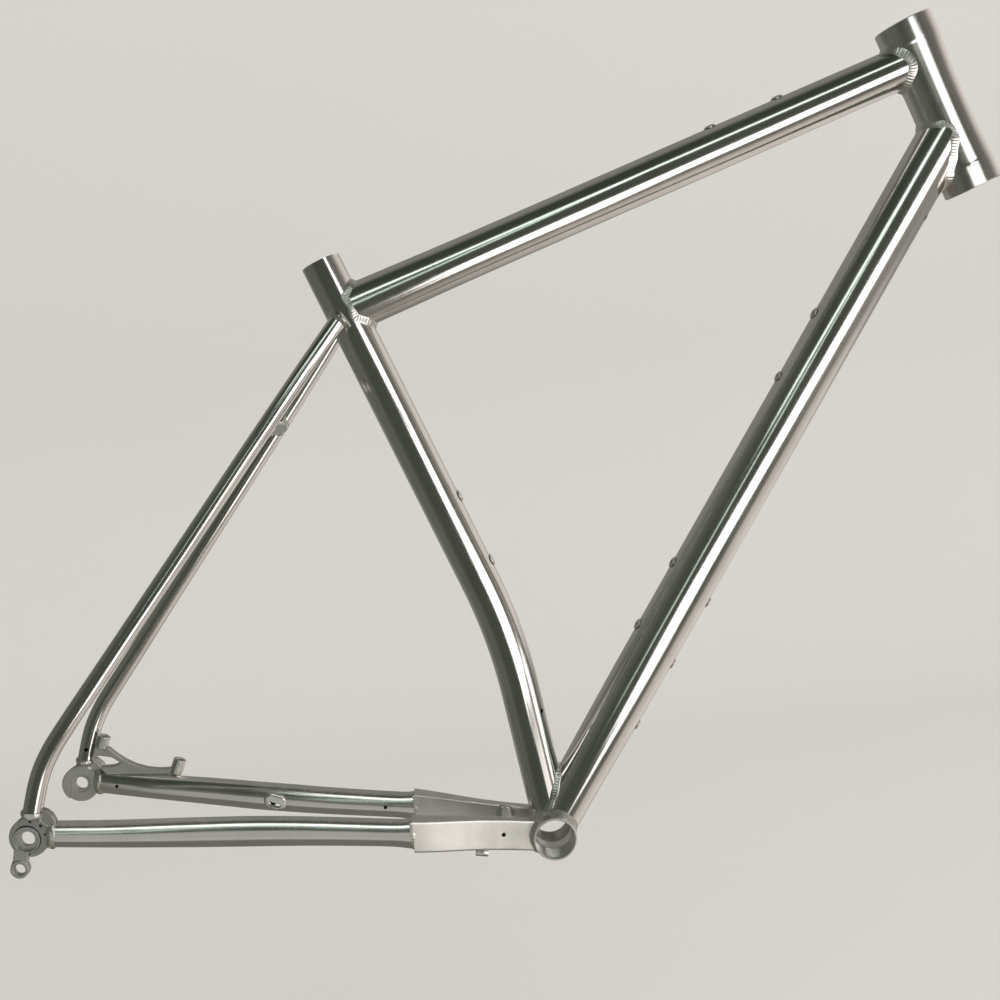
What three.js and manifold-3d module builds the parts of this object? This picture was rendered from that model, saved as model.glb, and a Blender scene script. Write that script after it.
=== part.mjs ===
// Bare disc-brake bicycle frame, welded from round titanium tube.
// Millimetres. +X is the riding direction, +Y the rider's left, +Z up.
// The origin is the centre of the bottom bracket shell, on the crank axis.
import * as THREE from 'three';
import { mergeVertices } from 'three/addons/utils/BufferGeometryUtils.js';
import Module from 'manifold-3d';

const wasm = await Module();
wasm.setup();

// ---------------------------------------------------------------- dimensions
const GAP = 0.3;                       // clearance kept between pieces that meet

// head tube
const HT_TOP = [376.6, 680.0];         // x, z of the centre of the upper rim
const HT_BOTTOM = [429.5, 532.9];      // x, z of the centre of the lower rim
const HT_END_R = 25.0;
const HT_WAIST_R = 22.7;
const HT_BORE_R = 22.0;                // 44 mm headset bore
const HT_BORE_DEPTH = 16;
const HT_WAIST_BORE_R = 20.2;

// seat tube
const ST_TOP = [-150.6, 525.6];        // x, z of the centre of the upper rim
const ST_UPPER_SLOPE = -0.3704;        // dx/dz of the straight upper length
const ST_LOWER_SLOPE = -0.1320;        // dx/dz of the straight lower length
const ST_KINK_Z = 181.1;               // height where the two straight lengths would cross
const ST_BEND_HALF = 54;               // length along the tube from the crossing to each end of the bend
const ST_R = 17.45;                    // 34.9 mm outside diameter
const ST_WALL = 1.65;                  // 31.6 mm seatpost bore

// top tube and down tube
const TT_Z0 = 524.0, TT_SLOPE = 0.3173;    // z = TT_Z0 + TT_SLOPE x
const TT_WALL = 1.0;
const DT_Z0 = 1.77, DT_SLOPE = 1.4245;     // z = DT_Z0 + DT_SLOPE x
const DT_WALL = 1.0;

// bottom bracket shell
const BB_R = 19.3;
const BB_HALF = 34;                    // 68 mm wide
const BB_THREAD_R = 16.95;
const BB_RELIEF_R = 17.8;
const BB_THREAD_LEN = 24;

// rear axle and dropouts
const AXLE = [-440.8, 68.6];           // x, z
const HUB_FACE = 71;                   // 142 mm between the hub faces
const AXLE_R = 6.15;
const R_DISC_R = 15.6, L_DISC_R = 17.2;
const DISC_IN = 68.2, DISC_OUT = 78, AXLE_SEAT = 78.5;
const HUB_POCKET_R = 10;

// chainstays: x, |y|, z, half height, half width
const CS_PATH = [
  [-423.0, 71.6, 69.2, 10.9, 10.6], [-376.4, 64.6, 61.2, 11.4, 10.9], [-315.0, 55.4, 51.7, 12.5, 10.9],
  [-268.0, 47.8, 44.3, 13.0, 10.8], [-240.0, 44.2, 40.0, 12.9, 10.8], [-204.1, 40.7, 34.3, 12.5, 10.8],
  [-146.0, 37.7, 25.1, 12.0, 10.7], [-136.0, 37.4, 23.4, 12.2, 10.5], [-120.0, 36.9, 20.7, 13.7, 10.1]];
const CS_WALL = 1.0;

// seatstays: x, |y|, z, radius
const SS_PATH = [
  [-434.6, 75.0, 88.6, 8.0], [-426.6, 75.3, 113.0, 8.0], [-420.6, 75.5, 126.6, 7.9],
  [-410.6, 75.5, 142.6, 7.8], [-396.5, 74.9, 160.4, 7.7], [-379.8, 73.2, 180.6, 7.6], [-350.0, 67.8, 216.8, 7.4],
  [-275.4, 55.4, 307.2, 7.3], [-222.4, 47.0, 371.5, 7.3], [-169.3, 33.8, 435.9, 7.3], [-135.0, 20.4, 477.5, 7.3]];
const SS_WALL = 0.9;

// chainstay yokes: plan outline of the right one, as |y| of the outer and inner faces at each x
const YOKE_PLAN = [[-124, 47.2, 27.0], [-108, 43.7, 25.2], [-87, 36.6, 21.2], [-66, 30.2, 17.6], [-42.5, 25.7, 14.6], [-8, 22.4, 12.4]];
const YOKE_TOP = [[-124, 35.2], [-8, 13.4]];       // x, z along the upper edge
const YOKE_HEIGHT = 28.2;
const YOKE_WALL = 2.2;

// bridges between the stays
const CS_BRIDGE = [-41.5, 12.0, 6.4];  // x, z, radius
const SS_BRIDGE = [-208.5, 387.5, 7.0];

// post-mount brake bracket
const POST_REAR = [-411.5, 113.3];     // x, z of the face centre
const POST_FRONT = [-343.7, 82.6];
const POST_Y = 67.5;
const POST_R = 5.9;

// threaded bosses
const BOSS_FLANGE_R = 5.6, BOSS_SHANK_R = 4.0, BOSS_HOLE_R = 2.1, BOSS_PROUD = 1.9;
const DT_BOSSES_UPPER = [198.3, 262.3, 452.8, 516.8];   // distance along the tube from the crank axis
const DT_BOSSES_LOWER = [118.2, 182.2, 246.2];
const TT_BOSS_MID = [236.2, 619.35];
const ST_BOSS_MID = [-40.9, 279.6];
const BOSS_PITCH = 64;

// ----------------------------------------------------------------- materials
const paint = (color, roughness, metalness = 1) => () => new THREE.MeshStandardMaterial({ color, roughness, metalness });
const POLISHED = paint(0xb9b5ac, 0.22);
const SATIN = paint(0xc2bcb4, 0.42);
const MACHINED = paint(0x8c8d86, 0.5);
const BRIGHT = paint(0xd6d4ce, 0.2);

const group = new THREE.Group();
group.name = 'bicycle_frame';

// ------------------------------------------------------------------- helpers
const V = (x, y, z) => new THREE.Vector3(x, y, z);

function solid(geometry) {
  let g = geometry.clone();
  g.deleteAttribute('normal');
  g.deleteAttribute('uv');
  g = mergeVertices(g, 1e-4);
  return new wasm.Manifold(new wasm.Mesh({
    numProp: 3,
    vertProperties: new Float32Array(g.attributes.position.array),
    triVerts: new Uint32Array(g.index.array),
  }));
}

function surface(man) {
  const m = man.getMesh();
  const g = new THREE.BufferGeometry();
  const pos = new Float32Array(m.vertProperties.length / m.numProp * 3);
  for (let i = 0; i < pos.length / 3; i++) for (let k = 0; k < 3; k++) pos[i * 3 + k] = m.vertProperties[i * m.numProp + k];
  g.setAttribute('position', new THREE.BufferAttribute(pos, 3));
  g.setIndex(new THREE.BufferAttribute(new Uint32Array(m.triVerts), 1));
  g.computeVertexNormals();
  return g;
}

function add(name, man, material) {
  const mesh = new THREE.Mesh(surface(man), material());
  mesh.name = name;
  group.add(mesh);
}

// A closed solid swept along rows of [x, y, z, half height, half width]. Its
// section's first axis lies in the plane square to Y, its second near Y.
function sweep(rows, segments = 28, grow = 0, stretch = 0) {
  const p = rows.map(r => V(r[0], r[1], r[2]));
  const n = rows.length;
  if (stretch) {
    const a = p[0].clone().sub(p[1]).normalize(), b = p[n - 1].clone().sub(p[n - 2]).normalize();
    p[0].addScaledVector(a, stretch);
    p[n - 1].addScaledVector(b, stretch);
  }
  const g = new THREE.CylinderGeometry(1, 1, 1, segments, n - 1, false);
  const at = g.attributes.position;
  for (let i = 0; i < at.count; i++) {
    const k = Math.round((0.5 - at.getY(i)) * (n - 1));
    const t = (k === 0 ? p[1].clone().sub(p[0]) : k === n - 1 ? p[k].clone().sub(p[k - 1])
      : p[k + 1].clone().sub(p[k]).normalize().add(p[k].clone().sub(p[k - 1]).normalize())).normalize();
    const nn = V(0, 1, 0).cross(t).normalize();
    const bb = t.clone().cross(nn).normalize();
    const ha = rows[k][3] + grow, hb = (rows[k][4] ?? rows[k][3]) + grow;
    const q = p[k].clone().addScaledVector(nn, at.getX(i) * ha).addScaledVector(bb, at.getZ(i) * hb);
    at.setXYZ(i, q.x, q.y, q.z);
  }
  return solid(g);
}

// A round rod between two points.
const rod = (a, b, r, segments = 24) => {
  const g = new THREE.CylinderGeometry(r, r, a.distanceTo(b), segments, 1, false);
  const m = new THREE.Matrix4().makeRotationFromQuaternion(new THREE.Quaternion().setFromUnitVectors(V(0, 1, 0), b.clone().sub(a).normalize()));
  g.applyMatrix4(m);
  const c = a.clone().add(b).multiplyScalar(0.5);
  g.translate(c.x, c.y, c.z);
  return solid(g);
};

// A ring turned from a closed profile of [radius, height], set with its height axis along dir.
function turned(profile, origin, dir, segments = 32) {
  const pts = profile.map(([r, h]) => new THREE.Vector2(r, h));
  pts.push(pts[0].clone());
  const g = new THREE.LatheGeometry(pts, segments);
  const q = new THREE.Quaternion().setFromUnitVectors(V(0, 1, 0), dir.clone().normalize());
  g.applyQuaternion(q);
  g.translate(origin.x, origin.y, origin.z);
  const s = solid(g);
  return s;
}

// A flat plate: outline in x, z, filling y from y0 to y1.
function plate(outline, y0, y1) {
  const shape = new THREE.Shape(outline.map(([x, z]) => new THREE.Vector2(x, z)));
  const g = new THREE.ExtrudeGeometry(shape, { depth: y1 - y0, bevelEnabled: false, curveSegments: 12 });
  g.rotateX(Math.PI / 2);              // shape y -> +z, depth -> -y
  g.translate(0, y1, 0);
  return solid(g);
}

// A flat slab seen in plan: outline in x, y, filling z from z0 to z1.
function slab(outline, z0, z1) {
  const shape = new THREE.Shape(outline.map(([x, y]) => new THREE.Vector2(x, y)));
  const g = new THREE.ExtrudeGeometry(shape, { depth: z1 - z0, bevelEnabled: false });
  g.translate(0, 0, z0);
  return solid(g);
}

const arc = (cx, cz, r, from, to, n) => Array.from({ length: n + 1 }, (_, i) => {
  const a = THREE.MathUtils.degToRad(from + (to - from) * i / n);
  return [cx + r * Math.cos(a), cz + r * Math.sin(a)];
});

const largest = man => {
  const parts = man.decompose();
  return parts.reduce((a, b) => (Math.abs(b.volume()) > Math.abs(a.volume()) ? b : a));
};

// ------------------------------------------------------------- main triangle
const htTop = V(HT_TOP[0], 0, HT_TOP[1]), htBottom = V(HT_BOTTOM[0], 0, HT_BOTTOM[1]);
const htLength = htTop.distanceTo(htBottom);
const htUp = htTop.clone().sub(htBottom).normalize();

// turned outside of the head tube: plain rings at both ends, a gentle waist between
const htFlare = (h) => {
  const ease = t => { const c = Math.min(1, Math.max(0, t)); return c * c * (3 - 2 * c); };
  const fromTop = ease((htLength - h - 19) / 34), fromBottom = ease((h - 20) / 38);
  return HT_END_R - (HT_END_R - HT_WAIST_R) * Math.min(fromTop, fromBottom);
};
const htStations = [20, 31, 44, 58, 103.5, 117, 127, 137.3];
const htOutside = [[HT_END_R, 0], ...htStations.map(h => [htFlare(h), h]), [HT_END_R, htLength]];
const htInside = [[HT_BORE_R, htLength], [HT_BORE_R, htLength - HT_BORE_DEPTH], [HT_WAIST_BORE_R, htLength - HT_BORE_DEPTH - 1.6],
  [HT_WAIST_BORE_R, HT_BORE_DEPTH + 1.6], [HT_BORE_R, HT_BORE_DEPTH], [HT_BORE_R, 0]];
const htSolid = (grow) => {
  const pts = [[0, 0], ...htOutside.map(([r, h]) => [r + grow, h]), [0, htLength]].map(([r, h]) => new THREE.Vector2(r, h));
  const g = new THREE.LatheGeometry(pts, 28);
  g.applyQuaternion(new THREE.Quaternion().setFromUnitVectors(V(0, 1, 0), htUp));
  g.translate(htBottom.x, 0, htBottom.z);
  return solid(g);
};
add('head_tube', turned([...htOutside, ...htInside], htBottom, htUp, 28), SATIN);
const headTubeBlock = htSolid(GAP);

const bbSolid = grow => rod(V(0, -BB_HALF - 1, 0), V(0, BB_HALF + 1, 0), BB_R + grow, 28);
add('bottom_bracket_shell', turned([
  [BB_R, -BB_HALF], [BB_R, BB_HALF], [BB_THREAD_R, BB_HALF], [BB_THREAD_R, BB_HALF - BB_THREAD_LEN], [BB_RELIEF_R, BB_HALF - BB_THREAD_LEN - 0.8],
  [BB_RELIEF_R, -BB_HALF + BB_THREAD_LEN + 0.8], [BB_THREAD_R, -BB_HALF + BB_THREAD_LEN], [BB_THREAD_R, -BB_HALF],
], V(0, 0, 0), V(0, 1, 0), 28), BRIGHT);
const bbBlock = bbSolid(GAP);

// seat tube axis: straight, one bend, straight
const stKink = V(0.93 + ST_LOWER_SLOPE * ST_KINK_Z, 0, ST_KINK_Z);
const stUp = V(ST_UPPER_SLOPE, 0, 1).normalize(), stLow = V(ST_LOWER_SLOPE, 0, 1).normalize();
const stAxis = [];
stAxis.push(V(0.93, 0, 0));
const bendStart = stKink.clone().addScaledVector(stLow, -ST_BEND_HALF), bendEnd = stKink.clone().addScaledVector(stUp, ST_BEND_HALF);
const bend = new THREE.QuadraticBezierCurve3(bendStart, stKink, bendEnd);
for (let i = 0; i <= 5; i++) stAxis.push(bend.getPoint(i / 5));
stAxis.push(V(ST_TOP[0], 0, ST_TOP[1]));
const stRows = (r) => stAxis.map(p => [p.x, p.y, p.z, r]);
const stOuter = sweep(stRows(ST_R), 24);
const stInner = sweep(stRows(ST_R - ST_WALL), 24, 0, 2);
const seatTubeBlock = sweep(stRows(ST_R), 24, GAP, 2);

// down tube: round, drawn flatter and wider toward the crank
const dtAt = x => DT_Z0 + DT_SLOPE * x;
const dtRows = [[2, 20.6, 24.0], [30, 20.8, 23.9], [75, 22.0, 22.9], [120, 22.5, 22.3], [409, 22.3, 22.3]]
  .map(([x, a, b]) => [x, 0, dtAt(x), a, b]);
const dtInnerRows = dtRows.map(r => [r[0], 0, r[2], r[3] - DT_WALL, r[4] - DT_WALL]);
const downTubeBlock = sweep(dtRows, 26, GAP);
const dtDir = V(1, 0, DT_SLOPE).normalize(), dtNormal = V(-DT_SLOPE, 0, 1).normalize();

// top tube: round at the head tube, drawn taller toward the seat tube
const ttAt = x => TT_Z0 + TT_SLOPE * x;
const ttRows = [[-134, 20.6, 18.4], [-95, 20.1, 18.5], [-20, 19.2, 18.9], [250, 18.8, 18.9], [388, 18.4, 18.9]]
  .map(([x, a, b]) => [x, 0, ttAt(x), a, b]);
const ttInnerRows = ttRows.map(r => [r[0], 0, r[2], r[3] - TT_WALL, r[4] - TT_WALL]);
const ttDir = V(1, 0, TT_SLOPE).normalize(), ttNormal = V(-TT_SLOPE, 0, 1).normalize();

// threaded bosses: each is a flange on the tube with a shank through its wall
const bossHoles = { dt: [], tt: [], st: [] };
const bosses = [];
function boss(name, tube, p, n) {
  bosses.push([name, p.clone(), n.clone()]);
  bossHoles[tube].push(rod(p.clone().addScaledVector(n, -12), p.clone().addScaledVector(n, 6), BOSS_SHANK_R + GAP, 10));
}
const dtHalf = s => { const x = s * dtDir.x; const rows = dtRows; for (let i = 1; i < rows.length; i++) if (x <= rows[i][0]) { const t = (x - rows[i - 1][0]) / (rows[i][0] - rows[i - 1][0]); return rows[i - 1][3] + t * (rows[i][3] - rows[i - 1][3]); } return rows.at(-1)[3]; };
DT_BOSSES_UPPER.forEach((s, i) => boss(`bottle_boss_down_tube_upper_${i + 1}`, 'dt', V(0, 0, DT_Z0).addScaledVector(dtDir, s).addScaledVector(dtNormal, dtHalf(s)), dtNormal));
DT_BOSSES_LOWER.forEach((s, i) => boss(`bottle_boss_down_tube_lower_${i + 1}`, 'dt', V(0, 0, DT_Z0).addScaledVector(dtDir, s).addScaledVector(dtNormal, -dtHalf(s)), dtNormal.clone().negate()));
[-1, 1].forEach((k, i) => {
  const x = TT_BOSS_MID[0] + k * BOSS_PITCH / 2 * ttDir.x;
  boss(`top_tube_boss_${i + 1}`, 'tt', V(x, 0, ttAt(x)).addScaledVector(ttNormal, 18.83), ttNormal);
});
const stFront = V(1, 0, -ST_UPPER_SLOPE).normalize();
[1, -1].forEach((k, i) => {
  const c = V(ST_BOSS_MID[0], 0, ST_BOSS_MID[1]).addScaledVector(stUp, k * BOSS_PITCH / 2);
  const axisX = stKink.x + ST_UPPER_SLOPE * (c.z - ST_KINK_Z);
  const off = V(c.x - axisX, 0, 0).dot(stFront);
  boss(`bottle_boss_seat_tube_${i + 1}`, 'st', c.addScaledVector(stFront, ST_R - off), stFront);
});

let seatTube = stOuter.subtract(stInner).subtract(bbBlock).subtract(downTubeBlock);
bossHoles.st.forEach(h => { seatTube = seatTube.subtract(h); });
{ // breather hole low on the front of the seat tube
  const z = 108.4, c = V(0.93 + ST_LOWER_SLOPE * z, 0, z), d = V(0.82, -0.57, 0.11).normalize();
  seatTube = seatTube.subtract(rod(c.clone().addScaledVector(d, 10), c.clone().addScaledVector(d, 22), 2.0, 8));
}
add('seat_tube', largest(seatTube), POLISHED);

let downTube = sweep(dtRows, 26).subtract(sweep(dtInnerRows, 26, 0, 2)).subtract(bbBlock).subtract(headTubeBlock);
bossHoles.dt.forEach(h => { downTube = downTube.subtract(h); });
{ // cable entry under the down tube, close to the head tube
  const s = 635, c = V(0, 0, DT_Z0).addScaledVector(dtDir, s), d = dtNormal.clone().multiplyScalar(-0.9).add(V(0, -0.436, 0)).normalize();
  downTube = downTube.subtract(rod(c.clone().addScaledVector(d, 14), c.clone().addScaledVector(d, 28), 2.6, 10));
}
add('down_tube', largest(downTube), POLISHED);

let topTube = sweep(ttRows, 24).subtract(sweep(ttInnerRows, 24, 0, 2)).subtract(headTubeBlock).subtract(seatTubeBlock);
bossHoles.tt.forEach(h => { topTube = topTube.subtract(h); });
add('top_tube', largest(topTube), POLISHED);

bosses.forEach(([name, p, n]) => add(name, turned([
  [BOSS_HOLE_R, -8], [BOSS_SHANK_R, -8], [BOSS_SHANK_R, GAP], [BOSS_FLANGE_R, GAP], [BOSS_FLANGE_R, BOSS_PROUD], [BOSS_HOLE_R, BOSS_PROUD],
], p, n, 10), BRIGHT));

// ----------------------------------------------------------------- rear end
const side = (name, s) => (s < 0 ? 'right_' : 'left_') + name;

for (const s of [-1, 1]) {
  // dropout: thick disc round the axle, stubs for the two stays, a web between them
  const discR = s < 0 ? R_DISC_R : L_DISC_R;
  const lo = s < 0 ? -DISC_OUT : DISC_IN, hi = s < 0 ? -DISC_IN : DISC_OUT;
  let body = rod(V(AXLE[0], lo, AXLE[1]), V(AXLE[0], hi, AXLE[1]), discR, 32);
  const ss0 = SS_PATH[0], ss1 = SS_PATH[1], cs0 = CS_PATH[0], cs1 = CS_PATH[1];
  const sA = V(ss0[0], s * ss0[1], ss0[2]), sD = V(ss1[0] - ss0[0], s * (ss1[1] - ss0[1]), ss1[2] - ss0[2]).normalize();
  const cA = V(cs0[0], s * cs0[1], cs0[2]), cD = V(cs1[0] - cs0[0], s * (cs1[1] - cs0[1]), cs1[2] - cs0[2]).normalize();
  const stub = rod(sA.clone().addScaledVector(sD, -9), sA.clone().addScaledVector(sD, -GAP), 7.4, 16);
  const plug = rod(cA.clone().addScaledVector(cD, -8), cA.clone().addScaledVector(cD, -GAP), 10.2, 20);
  const web = plate([[-448, 72], [-442.4, 88.6], [-433.5, 93.5], [-427.5, 93.4], [-422.0, 90.8], [-417.9, 86.4], [-415.6, 80.6], [-420.5, 76.0], [-424.5, 62.0], [-436, 60]], s < 0 ? -77 : 70, s < 0 ? -70 : 77);
  body = body.add(stub).add(plug).add(web);
  // keep the tubes clear of the web
  const ssBlock = sweep(SS_PATH.map(r => [r[0], s * r[1], r[2], r[3]]), 16, GAP);
  const csBlock = sweep(CS_PATH.map(r => [r[0], s * r[1], r[2], r[3], r[4]]), 20, GAP);
  body = body.subtract(ssBlock).subtract(csBlock);
  if (s > 0) body = body.add(rod(V(AXLE[0], 77, AXLE[1]), V(AXLE[0], AXLE_SEAT, AXLE[1]), 9.2, 32));   // raised seat for the axle head
  // hub pocket on the inner face, open at the bottom so that the wheel drops out
  const pocket = plate([...arc(AXLE[0], AXLE[1], HUB_POCKET_R, -14, 194, 14), [AXLE[0] - 12.6, AXLE[1] - 19], [AXLE[0] + 12.6, AXLE[1] - 19]], s < 0 ? -HUB_FACE : 60, s < 0 ? -60 : HUB_FACE);
  body = body.subtract(pocket);
  body = body.subtract(rod(V(AXLE[0], s * 60, AXLE[1]), V(AXLE[0], s * 90, AXLE[1]), AXLE_R, 20));
  if (s < 0) {
    // outer pocket that seats the hanger, and three small holes round it
    body = body.subtract(rod(V(AXLE[0], -74, AXLE[1]), V(AXLE[0], -90, AXLE[1]), 11.6, 28));
    body = body.subtract(plate([[AXLE[0] - 11.3, AXLE[1] - 2], [AXLE[0] + 2.6, AXLE[1] - 2], [AXLE[0] - 0.4, AXLE[1] - 20], [AXLE[0] - 14.2, AXLE[1] - 20]], -90, -74));
    for (const a of [81, 40, 3]) {
      const x = AXLE[0] + 13.5 * Math.cos(a * Math.PI / 180), z = AXLE[1] + 13.5 * Math.sin(a * Math.PI / 180);
      body = body.subtract(rod(V(x, -73.5, z), V(x, -90, z), 1.35, 8));
    }
  }
  add(side('dropout', s), largest(body), MACHINED);

  // chainstay
  const csRows = CS_PATH.map(r => [r[0], s * r[1], r[2], r[3], r[4]]);
  let cs = sweep(csRows, 20).subtract(sweep(csRows.map(r => [r[0], r[1], r[2], r[3] - CS_WALL, r[4] - CS_WALL]), 20, 0, 2));
  cs = cs.subtract(plate([[-124 - GAP, -60], [-90, -60], [-90, 90], [-124 - GAP, 90]], -90, 90));   // flush with the back of the yoke
  const inner = (x, dz = 0) => {
    for (let i = 1; i < CS_PATH.length; i++) if (x <= CS_PATH[i][0]) {
      const a = CS_PATH[i - 1], b = CS_PATH[i], t = (x - a[0]) / (b[0] - a[0]);
      return V(x, s * (a[1] + t * (b[1] - a[1])), a[2] + t * (b[2] - a[2]) + dz);
    }
  };
  for (const x of [-403.5, -151.5]) { // breather holes facing the wheel
    const c = inner(x);
    cs = cs.subtract(rod(c.clone().add(V(0, -s * 6, 0)), c.clone().add(V(0, -s * 14, 0)), 1.7, 8));
  }
  if (s > 0) { // slot where the brake hose leaves the stay
    const c = inner(-253);
    cs = cs.subtract(rod(c.clone().add(V(-2, -6, -1)), c.clone().add(V(-2, -14, -1)), 3.4, 12));
  }
  add(side('chainstay', s), largest(cs), POLISHED);

  // seatstay
  const ssRows = SS_PATH.map(r => [r[0], s * r[1], r[2], r[3]]);
  let ss = sweep(ssRows, 16).subtract(sweep(ssRows.map(r => [r[0], r[1], r[2], r[3] - SS_WALL]), 16, 0, 2)).subtract(seatTubeBlock);
  { const c = V(-430.4, s * 75.1, 101.6); ss = ss.subtract(rod(c.clone().add(V(0, -s * 4, 0)), c.clone().add(V(0, -s * 11, 0)), 1.7, 8)); }
  add(side('seatstay', s), largest(ss), POLISHED);

  // yoke: hollow box that narrows and closes in toward the crank
  const outline = d => {
    const out = YOKE_PLAN.map(([x, o]) => [x, s * (o - d)]), inn = YOKE_PLAN.map(([x, , i]) => [x, s * (i + d)]).reverse();
    const ring = [...out, ...inn];
    return s < 0 ? ring : ring.slice().reverse();
  };
  const edge = (d, x0, x1) => {
    const zAt = x => YOKE_TOP[0][1] + (YOKE_TOP[1][1] - YOKE_TOP[0][1]) * (x - YOKE_TOP[0][0]) / (YOKE_TOP[1][0] - YOKE_TOP[0][0]);
    return [[x0, zAt(x0) - d], [x0, zAt(x0) - YOKE_HEIGHT + d], [x1, zAt(x1) - YOKE_HEIGHT + d], [x1, zAt(x1) - d]];
  };
  const shell = slab(outline(0), -40, 60).intersect(plate(edge(0, -124, -8), -60, 60));
  const core = slab(outline(YOKE_WALL), -40, 60).intersect(plate(edge(YOKE_WALL, -124 + 3, -24), -60, 60));
  let yoke = shell.subtract(core).subtract(bbBlock).subtract(seatTubeBlock).subtract(downTubeBlock);
  yoke = yoke.subtract(rod(V(-45.2, s * 20, 6.6), V(-45.2, s * 40, 6.6), 1.75, 10));
  add(side('chainstay_yoke', s), largest(yoke), SATIN);
}

// bridges: short tubes mitred to the pieces on both sides
{
  const [bx, bz, r] = SS_BRIDGE;
  let b = rod(V(bx, -43.5, bz), V(bx, 43.5, bz), r, 16).subtract(rod(V(bx, -50, bz), V(bx, 50, bz), r - 0.9, 16));
  for (const s of [-1, 1]) b = b.subtract(sweep(SS_PATH.map(q => [q[0], s * q[1], q[2], q[3]]), 16, GAP));
  add('seatstay_bridge', largest(b), POLISHED);
}
{
  const [bx, bz, r] = CS_BRIDGE;
  const face = YOKE_PLAN[4][2] - 0.15;
  let b = rod(V(bx, -20, bz), V(bx, 20, bz), r, 16).subtract(rod(V(bx, -22, bz), V(bx, 22, bz), r - 1.0, 16));
  const zone = slab(YOKE_PLAN.map(([x, , i]) => [x, -(i - GAP)]).concat(YOKE_PLAN.map(([x, , i]) => [x, i - GAP]).reverse()), -20, 40);
  b = b.intersect(zone).subtract(seatTubeBlock).subtract(bbBlock);
  add('chainstay_bridge', largest(b), POLISHED);
}

// ------------------------------------------------------------ brake mounting
{
  const axis = V(POST_REAR[0] - POST_FRONT[0], 0, POST_REAR[1] - POST_FRONT[1]).normalize();   // along the two posts
  const up = V(-axis.z, 0, axis.x).multiplyScalar(-1).normalize();                             // square to the caliper faces
  const csBlock = sweep(CS_PATH.map(r => [r[0], r[1], r[2], r[3], r[4]]), 20, GAP);
  const ssBlock = sweep(SS_PATH.map(r => [r[0], r[1], r[2], r[3]]), 16, GAP);
  const bracket = plate([
    [-421.5, 104.0], [-408.5, 101.6], [-402.0, 94.6], [-393.5, 87.6], [-385.0, 82.4], [-375.2, 78.5], [-365.0, 76.2], [-353.0, 75.4],
    [-345.5, 71.0], [-349.0, 62.0], [-372.0, 62.0], [-400.0, 66.0], [-414.0, 77.0], [-418.6, 82.8], [-426.0, 92.6]], 63.6, 71.4);
  const window_ = plate([[-419.0, 95.4], [-424.0, 92.4], [-417.6, 84.6], [-406.0, 84.2], [-399.2, 86.4], [-406.8, 92.6]], 55, 80);
  let b = bracket.subtract(window_).subtract(csBlock).subtract(ssBlock);
  const posts = [['rear_brake_post', POST_REAR, 11.0], ['front_brake_post', POST_FRONT, 13.5]];
  for (const [name, p, len] of posts) {
    const top = V(p[0], POST_Y, p[1]);
    const foot = top.clone().addScaledVector(up, -len);
    b = b.subtract(rod(foot.clone().addScaledVector(up, -1.2), top.clone().addScaledVector(up, 20), POST_R + GAP, 18));
    let post = rod(foot.clone().addScaledVector(up, -0.8), top, POST_R, 18);
    post = post.subtract(rod(top.clone().addScaledVector(up, -9), top.clone().addScaledVector(up, 2), 2.6, 12)).subtract(csBlock).subtract(ssBlock);
    add(name, largest(post), MACHINED);
  }
  // stay clear of the dropout body
  const disc = rod(V(AXLE[0], 60, AXLE[1]), V(AXLE[0], 84, AXLE[1]), L_DISC_R + GAP, 32);
  const web = plate([[-448, 72], [-442.4, 88.9], [-433.5, 93.8], [-427.3, 93.7], [-421.8, 91.1], [-417.6, 86.6], [-415.2, 80.5], [-420.2, 75.8], [-424.2, 62.0], [-436, 60]], 69.7, 77.3);
  b = b.subtract(disc).subtract(web);
  add('brake_mount_bracket', largest(b), MACHINED);
}

// hooded port on the inner face of the left chainstay
{
  const c = V(-253, 34.7, 41.6);
  const stadium = (a, r, n = 8) => {
    const out = [];
    for (let i = 0; i <= n; i++) { const t = -Math.PI / 2 + Math.PI * i / n; out.push([a + r * Math.cos(t), r * Math.sin(t)]); }
    for (let i = 0; i <= n; i++) { const t = Math.PI / 2 + Math.PI * i / n; out.push([-a + r * Math.cos(t), r * Math.sin(t)]); }
    return out;
  };
  const turn = THREE.MathUtils.degToRad(-24);
  const place = ([u, w]) => [c.x + u * Math.cos(turn) - w * Math.sin(turn), c.z + u * Math.sin(turn) + w * Math.cos(turn)];
  let port = plate(stadium(3.6, 7.2).map(place), 31.6, 38.5);
  const csBlock = sweep(CS_PATH.map(r => [r[0], r[1], r[2], r[3], r[4]]), 20, GAP);
  port = port.subtract(csBlock);
  port = port.subtract(plate([[-8, -1.2], [6.6, -1.2], [5.0, -5.4], [-5.0, -5.6]].map(place), 28, 40));
  add('hose_port', largest(port), BRIGHT);
}

// cable guide under the right yoke
{
  const d = V(1, 0, -0.188).normalize();
  add('cable_guide', turned([[2.1, -5.6], [3.25, -5.6], [3.25, 5.6], [2.1, 5.6]], V(-66, -24.5, -7.6), d, 14), BRIGHT);
}

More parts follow.
